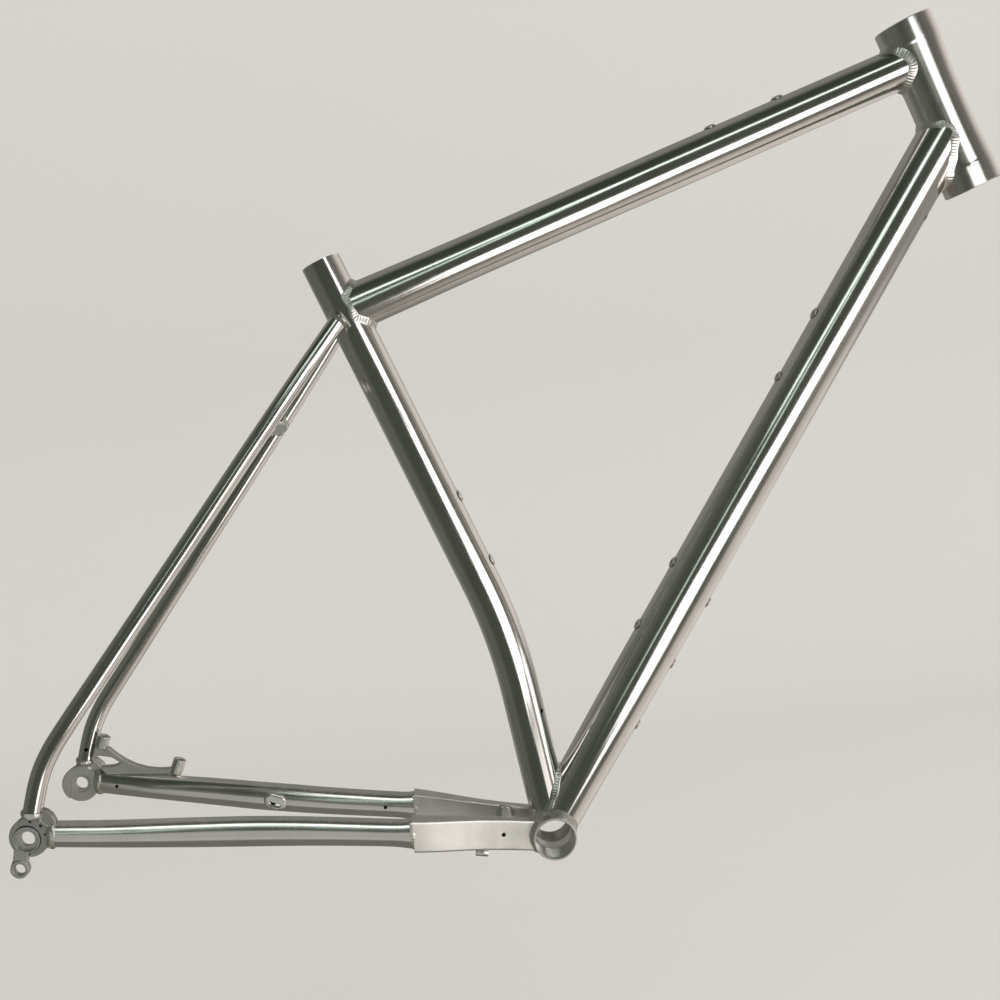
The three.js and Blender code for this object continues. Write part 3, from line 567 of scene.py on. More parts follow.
def nets(f, lo, hi, h):
    """Surface of a distance field as quads, one vertex in each cell the surface crosses."""
    xs = [np.arange(lo[k] - 2 * h, hi[k] + 3 * h, h) for k in range(3)]
    X = np.stack(np.meshgrid(*xs, indexing="ij"), -1)
    V = f(X)
    V = np.where(V == 0, 1e-9, V)
    neg = V < 0
    sh = np.array(V.shape) - 1
    acc = np.zeros((*sh, 3)); cnt = np.zeros(sh)
    def view(arr, off):
        return arr[off[0]:off[0] + sh[0], off[1]:off[1] + sh[1], off[2]:off[2] + sh[2]]
    for ax in range(3):
        o1, o2 = [k for k in range(3) if k != ax]
        for i in (0, 1):
            for j in (0, 1):
                off = [0, 0, 0]; off[o1] = i; off[o2] = j
                end = list(off); end[ax] = 1
                a, b = view(V, off), view(V, end)
                cr = view(neg, off) != view(neg, end)
                t = np.where(cr, a / np.where(cr, a - b, 1), 0)
                p = view(X, off).copy()
                p[..., ax] += t * h
                acc += np.where(cr[..., None], p, 0); cnt += cr
    act = cnt > 0
    idx = -np.ones(sh, int); idx[act] = np.arange(act.sum())
    verts = acc[act] / cnt[act][:, None]
    faces = []
    for ax in range(3):
        o1, o2 = [k for k in range(3) if k != ax]
        sl0 = [slice(None)] * 3; sl1 = [slice(None)] * 3
        sl0[ax] = slice(0, -1); sl1[ax] = slice(1, None)
        a, b = neg[tuple(sl0)], neg[tuple(sl1)]
        I = np.argwhere(a != b)
        I = I[(I[:, o1] > 0) & (I[:, o2] > 0) & (I[:, o1] < V.shape[o1] - 1) & (I[:, o2] < V.shape[o2] - 1)]
        def cell(d1, d2):
            J = I.copy(); J[:, o1] -= d1; J[:, o2] -= d2
            return idx[J[:, 0], J[:, 1], J[:, 2]]
        q = np.stack([cell(1, 1), cell(0, 1), cell(0, 0), cell(1, 0)], -1)
        inward = a[I[:, 0], I[:, 1], I[:, 2]]
        flip = inward if ax != 1 else ~inward
        q[~flip] = q[~flip][:, ::-1]
        faces.append(q)
    faces = np.concatenate(faces)
    for _ in range(3):                                   # settle the vertices on the surface
        d = f(verts)
        g = grad(f, verts, 0.08)
        verts = verts - g * np.clip(d, -0.4 * h, 0.4 * h)[:, None] * 0.9
    return verts, faces


def carved(name, f, lo, hi, h, material, nodes=None, mirror=False, angle=32):
    v, q = nets(f, lo, hi, h)
    if mirror:
        v = v * np.array([1, -1, 1]); q = q[:, ::-1]
    heat = np.zeros(len(v))
    return put(name, v, q, material, nodes or (name,), np.zeros((len(q) * 4, 2)), {"heat": heat}, angle), v, q


def yoke_plan_at(x):
    """Outer and inner faces of the yoke in plan, with the corners of the outline eased into one curve."""
    P = np.array(YOKE_PLAN)
    P = np.vstack([P[0] + (P[0] - P[1]) / abs(P[0, 0] - P[1, 0]) * 20, P, P[-1] + (P[-1] - P[-2]) / abs(P[-1, 0] - P[-2, 0]) * 20])
    o = i = 0.0
    for dx, w in ((-12, 0.06), (-8, 0.13), (-4, 0.2), (0, 0.22), (4, 0.2), (8, 0.13), (12, 0.06)):
        o = o + w * np.interp(x + dx, P[:, 0], P[:, 1]); i = i + w * np.interp(x + dx, P[:, 0], P[:, 2])
    return o, i


def yoke_top(x):
    (x0, z0), (x1, z1) = YOKE_TOP
    return z0 + (z1 - z0) * (x - x0) / (x1 - x0)


YOKE_OUT = np.array([[x, o] for x, o, _ in YOKE_PLAN]); YOKE_IN = np.array([[x, i] for x, _, i in YOKE_PLAN])
YOKE_RING = np.vstack([YOKE_OUT, YOKE_IN[::-1]])
YOKE_CORE = np.vstack([YOKE_OUT - [0, 2.2], (YOKE_IN + [0, 2.2])[::-1]])
YOKE_CORE = np.vstack([[-140, 45.0], YOKE_CORE[:5], [-24, 21.6], [-24, 15.9], YOKE_CORE[7:], [-140, 29.2]])


def sd_yoke_box(x, solid=True):
    """Left-hand yoke, before the crank end is mitred."""
    yy = np.abs(x[..., 1])
    r = 2.0
    zt = yoke_top(x[..., 0])
    dz = (np.abs(x[..., 2] - (zt - YOKE_HEIGHT / 2)) - YOKE_HEIGHT / 2) * 0.983
    o, i = yoke_plan_at(np.clip(x[..., 0], -124, -8))
    side_ = np.maximum(yy - o, i - yy) * 0.96
    a, b = side_ + r, dz + r
    box = np.minimum(np.maximum(a, b), 0) + np.hypot(np.maximum(a, 0), np.maximum(b, 0)) - r
    return np.maximum(box, -124.0 - x[..., 0])


def sd_yoke(x):
    shell = sd_yoke_box(x)
    core = shell + 2.2
    core = np.maximum(core, x[..., 0] + 24)
    back = np.where(x[..., 0] < -121.5, shell + 2.2, core)      # open at the rear
    inner = np.where(x[..., 0] < -110, _yoke_hollow(x), core)
    body = np.maximum(shell, -inner)
    body = smax(body, -(sd_bb(x) - 0.05), 0.2)
    body = np.maximum(body, -(ST.sd(x) - 0.05))
    body = np.maximum(body, -(DT.sd(x) - 0.05))
    hole = np.hypot(x[..., 0] + 45.2, x[..., 2] - 6.6) - 1.75
    hole = np.maximum(hole, 19.0 - np.abs(x[..., 1]))
    return smax(body, -hole, 0.3)


def _yoke_hollow(x):
    yy = np.abs(x[..., 1])
    r = 2.0
    zt = yoke_top(x[..., 0])
    dz = (np.abs(x[..., 2] - (zt - YOKE_HEIGHT / 2)) - YOKE_HEIGHT / 2) * 0.983
    o, i = yoke_plan_at(np.clip(x[..., 0], -124, -8))
    side_ = np.maximum(yy - o, i - yy) * 0.96
    a, b = side_ + r, dz + r
    box = np.minimum(np.maximum(a, b), 0) + np.hypot(np.maximum(a, 0), np.maximum(b, 0)) - r
    return box + 2.2


# the crank-end region is evaluated only where the yokes are
yl, yq = nets(sd_yoke, (-124.5, 11.5, -16), (-6, 48, 36), 0.62)
uvz = np.zeros((len(yq) * 4, 2))
rear_heat = np.exp(-((yl[:, 0] + 124) / 5) ** 2)
left_yoke = put("left_chainstay_yoke", yl, yq, SATIN, ("left_chainstay_yoke",), uvz, {"heat": rear_heat}, 32)
right_yoke = put("right_chainstay_yoke", yl * np.array([1, -1, 1]), yq[:, ::-1], SATIN, ("right_chainstay_yoke",), uvz, {"heat": rear_heat}, 32)

# ------------------------------------------------------------------ stays
side_name = {-1: "right", 1: "left"}
stay_ends = {}
ss_stop = {}
for s in (-1, 1):
    # the upper end is mitred to the seat tube and closed where it passes beside it
    end_p = np.array([-138.8, s * 21.9, 472.9]); end_d = unit([34.3, -s * 13.4, 41.6])
    def stop(x, p=end_p, d=end_d):
        return np.minimum(ST.sd(x), (p - x) @ d)
    ss_stop[s] = stop
for s in (-1, 1):
    n = side_name[s]
    ob, a, b = tube(f"{n}_chainstay", CS[s], 1.0, None, lambda x: -124.3 - x[..., 0], mat=STAY, cuts=110, spread=7)
    stay_ends[n, "cs"] = (a, b, ob)
    ob, a, b = tube(f"{n}_seatstay", SS[s], 0.9, None, ss_stop[s], cuts=130, spread=7)
    p0, d0 = np.array([-138.8, s * 21.9, 472.9]), unit([34.3, -s * 13.4, 41.6])
    def cap(x, p0=p0, d0=d0):
        h = (x - p0) @ d0
        r = np.linalg.norm(x - p0 - h[..., None] * d0, axis=-1)
        dome = np.sqrt(r ** 2 + (np.maximum(h + 1.2, 0) * 3.4) ** 2) - 7.1
        return np.maximum(np.maximum(dome, -3.0 - h), -(ST.sd(x) - 0.05))
    lo_, hi_ = p0 - 9.5, p0 + 9.5
    v_, q_ = nets(cap, lo_, hi_, 0.45)
    put(f"{n}_seatstay_cap", v_, q_, TUBE, (), np.zeros((len(q_) * 4, 2)), {"heat": np.full(len(v_), 0.3)}, 40)
    stay_ends[n, "ss"] = (a, b, ob)

SSB = Path([[SS_BRIDGE[0], -43.5, SS_BRIDGE[1], SS_BRIDGE[2]], [SS_BRIDGE[0], 43.5, SS_BRIDGE[1], SS_BRIDGE[2]]], 2)
ssb_ob, ssb0, ssb1 = tube("seatstay_bridge", SSB, 0.9, SS[-1].sd, SS[1].sd, cuts=30, spread=5, reach=0.0)
CSB = Path([[CS_BRIDGE[0], -14.4, CS_BRIDGE[1], CS_BRIDGE[2]], [CS_BRIDGE[0], 14.4, CS_BRIDGE[1], CS_BRIDGE[2]]], 1)
csb_ob, csb0, csb1 = tube("chainstay_bridge", CSB, 1.0, sd_yoke_box, sd_yoke_box, cuts=20, spread=4)

# ------------------------------------------------------------------ turned pieces
def frame_of(d):
    d = unit(d)
    u = unit(np.cross(d, [0, 1, 0])) if abs(d[1]) < 0.9 else unit(np.cross(d, [0, 0, 1]))
    return d, u, np.cross(d, u)


def lathe(name, profile, origin, direction, material, nodes=(), n=96, angle=30, heat=None, radius_of=None):
    """A ring turned from a closed outline of [radius, height]."""
    d, u, v = frame_of(direction)
    P = np.asarray(profile, float)
    th = np.arange(n) / n * 2 * np.pi
    R = np.repeat(P[:, :1], n, 1)
    if radius_of is not None:
        R = radius_of(R, P[:, 1], th)
    g = np.asarray(origin, float) + d * P[:, 1][:, None, None] + R[..., None] * (np.cos(th)[None, :, None] * u + np.sin(th)[None, :, None] * v)
    H = None if heat is None else np.repeat(np.asarray(heat)[:, None], n, 1)
    return skin(name, g, material, nodes, H, volume_sign(g) < 0, angle, P[:, 1] * 0.02, 2 * np.pi * float(P[:, 0].max()) * 0 + P[:, 1].ptp() if hasattr(P[:, 1], "ptp") else 60.0)


def bevelled(rows, c=0.6):
    """Cut the corners of a closed outline."""
    out = []
    P = np.asarray(rows, float)
    for k in range(len(P)):
        a, b, d = P[k - 1], P[k], P[(k + 1) % len(P)]
        la, ld = np.linalg.norm(a - b), np.linalg.norm(d - b)
        m = min(c, la * 0.4, ld * 0.4)
        p1, p2 = b + (a - b) / la * m, b + (d - b) / ld * m
        out += [p1, b * 0.34 + p1 * 0.33 + p2 * 0.33, p2]
    return out


hs = np.unique(np.concatenate([np.linspace(1.2, HT_LEN - 1.2, 90), np.linspace(18.6, 22.6, 16), HT_LEN - np.linspace(18.6, 22.6, 16)]))
outer = [[HT_END_R - 0.9, 0.0], [HT_END_R, 0.9]] + [[float(ht_flare(np.array(h))), h] for h in hs] + [[HT_END_R, HT_LEN - 0.9], [HT_END_R - 0.9, HT_LEN]]
inner = [[HT_BORE_R + 0.6, HT_LEN], [HT_BORE_R, HT_LEN - 0.6], [HT_BORE_R, HT_LEN - HT_BORE_DEPTH], [HT_WAIST_BORE_R, HT_LEN - HT_BORE_DEPTH - 1.6],
         [HT_WAIST_BORE_R, HT_BORE_DEPTH + 1.6], [HT_BORE_R, HT_BORE_DEPTH], [HT_BORE_R, 0.6], [HT_BORE_R + 0.6, 0.0]]
head = lathe("head_tube", outer + inner, HT_BOTTOM, HT_UP, HEAD, ("head_tube",), 160, 25)

# bottom bracket shell: faced ends, cut threads, a plain relief between them
PITCH = 1.058
def thread(R, h, th):
    out = R.copy()
    for sgn, hand in ((1, 1), (-1, -1)):
        depth = BB_HALF - sgn * h                                    # from this end's face
        on = (depth > 1.2) & (depth < BB_THREAD_LEN - 0.2) & (R[:, 0] < BB_THREAD_R + 0.2)
        ph = (depth[:, None] / PITCH + hand * th[None] / (2 * np.pi)) % 1.0
        tri = np.abs(ph * 2 - 1)
        fade = np.clip((depth - 1.2) / 1.0, 0, 1) * np.clip((BB_THREAD_LEN - 0.2 - depth) / 1.0, 0, 1)
        out = np.where(on[:, None], BB_THREAD_R + 0.62 * tri * fade[:, None], out)
    return out


zone = np.arange(1.3, BB_THREAD_LEN - 0.2, PITCH / 6)
bb_rows = [[BB_R, -BB_HALF + 0.5], [BB_R, BB_HALF - 0.5], [BB_R - 0.5, BB_HALF], [BB_THREAD_R + 1.1, BB_HALF], [BB_THREAD_R, BB_HALF - 1.1]]
bb_rows += [[BB_THREAD_R, BB_HALF - d] for d in zone]
bb_rows += [[BB_THREAD_R, BB_HALF - BB_THREAD_LEN], [BB_RELIEF_R, BB_HALF - BB_THREAD_LEN - 0.8], [BB_RELIEF_R, -BB_HALF + BB_THREAD_LEN + 0.8], [BB_THREAD_R, -BB_HALF + BB_THREAD_LEN]]
bb_rows += [[BB_THREAD_R, -BB_HALF + d] for d in zone[::-1]]
bb_rows += [[BB_THREAD_R, -BB_HALF + 1.1], [BB_THREAD_R + 1.1, -BB_HALF], [BB_R - 0.5, -BB_HALF]]
# the attribute is 1 on the threaded bore rows, which the shell's material paints with shade
bb = lathe("bottom_bracket_shell", bb_rows, (0, 0, 0), (0, 1, 0), SHELL, ("bottom_bracket_shell",), 120, 25, heat=[1.0 if q[0] < BB_THREAD_R + 0.5 else 0.0 for q in bb_rows], radius_of=thread)

cg = lathe("cable_guide", bevelled([[2.1, -5.6], [3.25, -5.6], [3.25, 5.6], [2.1, 5.6]], 0.3), (-66, -24.5, -7.6), (1, 0, -0.188), BRIGHT, ("cable_guide",), 48)

# ------------------------------------------------------------------ threaded bosses and the holes they sit in
DT_DIR, DT_N = unit([1, 0, DT_SLOPE]), unit([-DT_SLOPE, 0, 1])
TT_DIR, TT_N = unit([1, 0, TT_SLOPE]), unit([-TT_SLOPE, 0, 1])
ST_UPV, ST_FRONT = unit([ST_UPPER_SLOPE, 0, 1]), unit([1, 0, -ST_UPPER_SLOPE])
DT_H = [(2, 20.6), (30, 20.8), (75, 22.0), (120, 22.5), (409, 22.3)]
holes = {"down_tube": [], "top_tube": [], "seat_tube": []}


def boss(name, tube_name, p, n):
    rows = [[2.1, -6.0], [3.9, -6.0], [3.9, 0.25], [5.6, 0.25], [5.45, 0.62], [4.3, 1.55], [3.9, 1.8], [3.6, 1.9], [2.6, 1.9], [2.1, 1.4]]
    zone_ = np.arange(1.0, -5.6, -0.2)
    rows += [[2.1 + 0.22 * abs((z / 0.8) % 1 * 2 - 1), z] for z in zone_]
    lathe(name, rows, p, n, SATIN, (name,), 48, 28)
    holes[tube_name].append((p - n * 12, p + n * 6, 4.15))


for i, s_ in enumerate(DT_BOSSES_UPPER):
    r_ = np.interp(s_ * DT_DIR[0], [q[0] for q in DT_H], [q[1] for q in DT_H])
    boss(f"bottle_boss_down_tube_upper_{i + 1}", "down_tube", np.array([0, 0, DT_Z0]) + DT_DIR * s_ + DT_N * r_, DT_N)
for i, s_ in enumerate(DT_BOSSES_LOWER):
    r_ = np.interp(s_ * DT_DIR[0], [q[0] for q in DT_H], [q[1] for q in DT_H])
    boss(f"bottle_boss_down_tube_lower_{i + 1}", "down_tube", np.array([0, 0, DT_Z0]) + DT_DIR * s_ - DT_N * r_, -DT_N)
for i, k in enumerate((-1, 1)):
    x = 236.2 + k * 32 * TT_DIR[0]
    boss(f"top_tube_boss_{i + 1}", "top_tube", np.array([x, 0, TT_Z0 + TT_SLOPE * x]) + TT_N * 18.83, TT_N)
for i, k in enumerate((1, -1)):
    c = np.array([-40.9, 0, 279.6]) + ST_UPV * k * 32
    ax_x = k0[0] + ST_UPPER_SLOPE * (c[2] - ST_KINK_Z)
    off = (c[0] - ax_x) * ST_FRONT[0]
    boss(f"bottle_boss_seat_tube_{i + 1}", "seat_tube", c + ST_FRONT * (ST_R - off), ST_FRONT)

d_ = unit(-0.9 * DT_N + np.array([0, -0.436, 0])); c_ = np.array([0, 0, DT_Z0]) + DT_DIR * 635
holes["down_tube"].append((c_ + d_ * 14, c_ + d_ * 28, 2.6))
d_ = unit([0.82, -0.57, 0.11]); c_ = np.array([0.93 + ST_LOWER_SLOPE * 108.4, 0, 108.4])
holes["seat_tube"].append((c_ + d_ * 10, c_ + d_ * 22, 2.0))
for s in (-1, 1):
    n = side_name[s]
    P = CS[s]
    def on_cs(x):
        return np.array([x, np.interp(x, P.p[:, 0], P.p[:, 1]), np.interp(x, P.p[:, 0], P.p[:, 2])])
    holes[f"{n}_chainstay"] = [(on_cs(x) + [0, -s * 6, 0], on_cs(x) + [0, -s * 14, 0], 1.7) for x in (-403.5, -151.5)]
    if s > 0:
        c = on_cs(-253)
        holes[f"{n}_chainstay"].append((c + [-2, -6, -1], c + [-2, -14, -1], 3.4))
    c = np.array([-430.4, s * 75.1, 101.6])
    holes[f"{n}_seatstay"] = [(c + [0, -s * 4, 0], c + [0, -s * 11, 0], 1.7)]


def drill(name, rods):
    """Cut round holes into a finished piece."""
    ob = made[name]
    verts, faces = [], []
    for a, b, r in rods:
        d, u, v = frame_of(np.asarray(b) - np.asarray(a))
        n = 28
        th = np.arange(n) / n * 2 * np.pi
        ring = r * (np.cos(th)[:, None] * u + np.sin(th)[:, None] * v)
        base = len(verts)
        verts += list(np.asarray(a) + ring) + list(np.asarray(b) + ring)
        faces += [[base + i, base + (i + 1) % n, base + n + (i + 1) % n, base + n + i] for i in range(n)]
        faces += [[base + i for i in range(n)][::-1], [base + n + i for i in range(n)]]
    me = bpy.data.meshes.new("cutter")
    me.from_pydata((np.array(verts) * MM).tolist(), [], faces)
    import bmesh
    bm = bmesh.new(); bm.from_mesh(me); bmesh.ops.recalc_face_normals(bm, faces=bm.faces); bm.to_mesh(me); bm.free()
    cut = bpy.data.objects.new("cutter", me)
    bpy.context.scene.collection.objects.link(cut)
    m = ob.modifiers.new("holes", "BOOLEAN")
    m.operation = "DIFFERENCE"; m.object = cut; m.solver = "MANIFOLD"
    bpy.context.view_layer.update()
    before = len(ob.data.polygons)
    new = bpy.data.meshes.new_from_object(ob.evaluated_get(bpy.context.evaluated_depsgraph_get()), preserve_all_data_layers=True, depsgraph=bpy.context.evaluated_depsgraph_get())
    ob.modifiers.clear()
    if len(new.polygons) > before * 0.5:
        old = ob.data
        ob.data = new
        bpy.data.meshes.remove(old)
    else:
        print("drill failed on", name)
    bpy.data.objects.remove(cut); bpy.data.meshes.remove(me)
    finish_mesh(ob, 40)


for name, rods in holes.items():
    drill(name, rods)

# ------------------------------------------------------------------ dropouts, hanger, brake mount, hose port
def stay_sd(s):
    """Both stays of one side near the axle, as seen from the left-hand side of the frame."""
    return lambda x: np.minimum(CS[1].sd(x), SS[1].sd(x))


near_stays = stay_sd(1)
sA = np.array([-434.6, 75.0, 88.6]); sD = unit([8.0, 0.3, 24.4])
cA = np.array([-423.0, 71.6, 69.2]); cD = unit([46.6, -7.0, -8.0])
WEB = [[-448, 72], [-442.4, 88.6], [-433.5, 93.5], [-427.5, 93.4], [-422.0, 90.8], [-417.9, 86.4], [-415.6, 80.6], [-420.5, 76.0], [-424.5, 62.0], [-436, 60]]


def arc_pts(cx, cz, r, a0, a1, n):
    a = np.radians(np.linspace(a0, a1, n + 1))
    return [[cx + r * math.cos(q), cz + r * math.sin(q)] for q in a]


def dropout_field(right):
    R = 15.6 if right else 17.2
    pocket = arc_pts(AX, AZ, 10.0, -14, 194, 20) + [[AX - 12.6, AZ - 19], [AX + 12.6, AZ - 19]]
    neck = [[AX - 11.3, AZ - 2], [AX + 2.6, AZ - 2], [AX - 0.4, AZ - 20], [AX - 14.2, AZ - 20]]

    def f(x):
        X, Y, Z = x[..., 0], x[..., 1], x[..., 2]
        rr = np.hypot(X - AX, Z - AZ)
        rd = np.hypot(X - AX - 2.1, Z - AZ - 1.4) - 16.8 if right else rr - R
        body = slab_sd(rd, Y, 68.2, 78.0, 0.7)
        web = slab_sd(poly2(X, Z, WEB) - 0.0, Y, 70.0, 77.0, 1.1)
        body = smin(body, web, 1.8)
        body = smin(body, cyl_sd(x, sA - 9 * sD, sA - 0.25 * sD, 7.4, 0.6), 2.2)
        body = smin(body, cyl_sd(x, cA - 8 * cD, cA - 0.25 * cD, 10.2, 0.6), 2.2)
        body = smax(body, -np.maximum(rd - 0.5, 78.0 - Y), 0.5)          # the stubs are faced off over the disc, on both sides
        body = smax(body, -np.maximum(rd - 0.5, Y - 68.2), 0.5)
        if not right:
            body = smin(body, slab_sd(rr - 9.2, Y, 77.0, 78.5, 0.25), 0.2)
        body = smax(body, -(near_stays(x) - 0.06), 0.15)
        body = smax(body, -np.maximum(poly2(X, Z, pocket), Y - 71.0), 0.5)
        body = smax(body, -(rr - 6.15), 0.5)
        if not right:
            body = smax(body, -np.maximum(rr - 8.3, Y - 71.7), 0.2)      # the spot face round the axle hole
        if right:
            body = smax(body, -np.maximum(rr - 11.6, 74.0 - Y), 0.6)
            body = smax(body, -np.maximum(poly2(X, Z, neck), 74.0 - Y), 0.6)
            for a in (81, 40, 3):
                hx, hz = AX + 2.2 + 13.5 * math.cos(math.radians(a)), AZ + 1.7 + 13.5 * math.sin(math.radians(a))
                body = smax(body, -np.maximum(np.hypot(X - hx, Z - hz) - 1.35, 73.5 - Y), 0.3)
        return body
    return f


H = 0.45
for s in (-1, 1):
    # the right dropout gets the darker copy of the machined titanium, painted shade over the whole piece
    carved(f"{side_name[s]}_dropout", dropout_field(s < 0), (-460, 59.6, 50), (-409, 84.0, 97), H, MACH if s > 0 else MACH_SHADED, mirror=s < 0)

ARM = [[AX - 10.8, AZ - 3], [AX + 2.2, AZ - 3], [AX + 0.2, AZ - 12.5], [AX - 1.4, AZ - 18.5], [AX - 3.8, AZ - 23.2], [AX - 15.6, AZ - 20.6], [AX - 13.0, AZ - 15.4], [AX - 11.8, AZ - 10]]


def hanger_field(x):
    X, Y, Z = x[..., 0], x[..., 1], x[..., 2]
    rr = np.hypot(X - AX, Z - AZ)
    er = np.hypot(X + 449.4, Z - 44.4)
    b = slab_sd(rr - 11.3, Y, 74.3, 80.0, 0.5)
    b = smin(b, slab_sd(poly2(X, Z, ARM), Y, 74.3, 80.0, 0.9), 0.8)
    b = smin(b, slab_sd(er - 7.6, Y, 73.4, 80.6, 0.6), 0.8)
    b = smax(b, -np.maximum(rr - 9.8, 76.4 - Y), 0.4)
    b = smax(b, -(rr - 6.15), 0.4)
    # the eye is threaded and countersunk
    thr = 4.6 + 0.28 * np.abs(((Y / 1.0) % 1.0) * 2 - 1) + np.clip(Y - 79.9, 0, 1) * 1.0 + np.clip(74.1 - Y, 0, 1) * 1.0
    return smax(b, -(er - thr), 0.15)


carved("derailleur_hanger", hanger_field, (-459, 73, 35), (-427, 81, 81), 0.36, ALU, mirror=True)

BR_AX = unit([-67.8, 0, 30.7]); BR_UP = unit([0.4125, 0, 0.911])
PLATE = [[-421.5, 104.0], [-408.5, 101.6], [-402.0, 94.6], [-393.5, 87.6], [-385.0, 82.4], [-375.2, 78.5], [-365.0, 76.2], [-353.0, 75.4],
         [-345.5, 71.0], [-349.0, 62.0], [-372.0, 62.0], [-400.0, 66.0], [-414.0, 77.0], [-418.6, 82.8], [-426.0, 92.6]]
WINDOW = [[-419.0, 95.4], [-424.0, 92.4], [-417.6, 84.6], [-406.0, 84.2], [-399.2, 86.4], [-406.8, 92.6]]
left_drop = dropout_field(False)


def bracket_field(x):
    X, Y, Z = x[..., 0], x[..., 1], x[..., 2]
    b = slab_sd(poly2(X, Z, PLATE), Y, 63.6, 71.4, 1.0)
    b = smax(b, -poly2(X, Z, WINDOW), 1.2)
    for p, ln in ((POST_REAR, 11.0), (POST_FRONT, 13.5)):
        b = smax(b, -cyl_sd(x, p - BR_UP * (ln + 1.2), p + BR_UP * 20, POST_R + 0.08, 0.1), 0.2)
    b = np.maximum(b, -(near_stays(x) - 0.06))
    b = np.maximum(b, -(slab_sd(np.hypot(X - AX, Z - AZ) - 17.25, Y, 60, 84, 0.1)))
    return np.maximum(b, -(slab_sd(poly2(X, Z, WEB) - 0.2, Y, 69.8, 77.2, 0.1)))


carved("brake_mount_bracket", bracket_field, (-427, 63, 61), (-344, 72, 105), 0.5, MACH)


def post_field(p, ln):
    def f(x):
        b = cyl_sd(x, p - BR_UP * (ln + 0.8), p, POST_R, 0.7)
        h = (x - p) @ BR_UP
        r = np.linalg.norm(x - p - h[..., None] * BR_UP, axis=-1)
        hole = np.maximum(r - 2.6 - np.clip(h + 0.8, 0, 1) * 0.7 - 0.14 * np.abs(((h / 1.0) % 1) * 2 - 1), -9 - h)
        b = smax(b, -hole, 0.2)
        return np.maximum(b, -(near_stays(x) - 0.06))
    return f


for nm, p, ln in (("rear_brake_post", POST_REAR, 11.0), ("front_brake_post", POST_FRONT, 13.5)):
    c = p - BR_UP * ln / 2
    carved(nm, post_field(p, ln), c - [10, 7, 11], c + [10, 7, 11], 0.34, POST, (nm,))

PC = np.array([-253, 34.7, 41.6]); TURN = math.radians(-24)


def port_field(x):
    X, Y, Z = x[..., 0] - PC[0], x[..., 1], x[..., 2] - PC[2]
    u = X * math.cos(TURN) + Z * math.sin(TURN)
    w = -X * math.sin(TURN) + Z * math.cos(TURN)
    d2 = np.hypot(np.maximum(np.abs(u) - 3.6, 0), w) - 7.2
    b = slab_sd(d2, Y, 31.6, 38.5, 2.6)
    slot_ = poly2(u, w, [[-8, -1.2], [6.6, -1.2], [5.0, -5.4], [-5.0, -5.6]])
    b = smax(b, -slot_, 0.6)
    return np.maximum(b, -(CS[1].sd(x) - 0.06))


carved("hose_port", port_field, (-265, 31, 32), (-241, 39, 51), 0.3, BRIGHT)

# ------------------------------------------------------------------ welds
tube_bead("weld_top_tube_head", TT, tt1, sd_head, "main_tube", width=9.4, height=0.34, pitch=2.4)
tube_bead("weld_top_tube_seat", TT, tt0, ST.sd, "main_tube", width=8.2, height=0.36, pitch=2.2)
tube_bead("weld_down_tube_head", DT, dt1, sd_head, "main_tube", width=9.0, height=0.34, pitch=2.4)
tube_bead("weld_down_tube_shell", DT, dt0, sd_bb, "main_tube", width=8.0, height=0.5, pitch=2.4)
tube_bead("weld_seat_tube_shell", ST, st0, sd_min(sd_bb, DT.sd), "main_tube", width=8.0, height=0.5, pitch=2.4)
for s in (-1, 1):
    n = side_name[s]
    a, b, _ = stay_ends[n, "cs"]
    pts = CS[s].point(a, TH); nn = CS[s].normal(a, TH)
    back = -np.repeat(CS[s].t[:1], NTH, 0)
    bead_loop(f"weld_{n}_chainstay_dropout", pts - nn * 0.3 - back * 1.3, nn, unit(nn + 0.7 * back), "stay", width=6.6, height=0.7, pitch=2.2, curve=11)
    pts = CS[s].point(b, TH); nn = CS[s].normal(b, TH)
    bead_loop(f"weld_{n}_chainstay_yoke", pts - nn * 0.2 + [0.3, 0, 0], nn, nn, "stay", width=7.0, height=0.55, pitch=2.2, curve=12)
    a, b, _ = stay_ends[n, "ss"]
    pts = SS[s].point(a, TH); nn = SS[s].normal(a, TH)
    back = -np.repeat(SS[s].t[:1], NTH, 0)
    bead_loop(f"weld_{n}_seatstay_dropout", pts - nn * 0.3, nn, unit(nn + 0.7 * back), "stay", width=6.4, height=0.7, pitch=2.0, curve=8)
    bead_loop(f"weld_{n}_seatstay_seat_tube", SS[s].point(b, TH), SS[s].normal(b, TH), grad(ss_stop[s], SS[s].point(b, TH)), "stay", width=6.0, height=0.5, pitch=2.0, curve=8)
tube_bead("weld_bridge_right", SSB, ssb0, SS[-1].sd, "stay", width=5.0, height=0.4, pitch=1.8, curve=7)
tube_bead("weld_bridge_left", SSB, ssb1, SS[1].sd, "stay", width=5.0, height=0.4, pitch=1.8, curve=7)
tube_bead("weld_chainstay_bridge_right", CSB, csb0, sd_yoke_box, "stay", width=5.0, height=0.4, pitch=1.8, curve=7)
tube_bead("weld_chainstay_bridge_left", CSB, csb1, sd_yoke_box, "stay", width=5.0, height=0.4, pitch=1.8, curve=7)


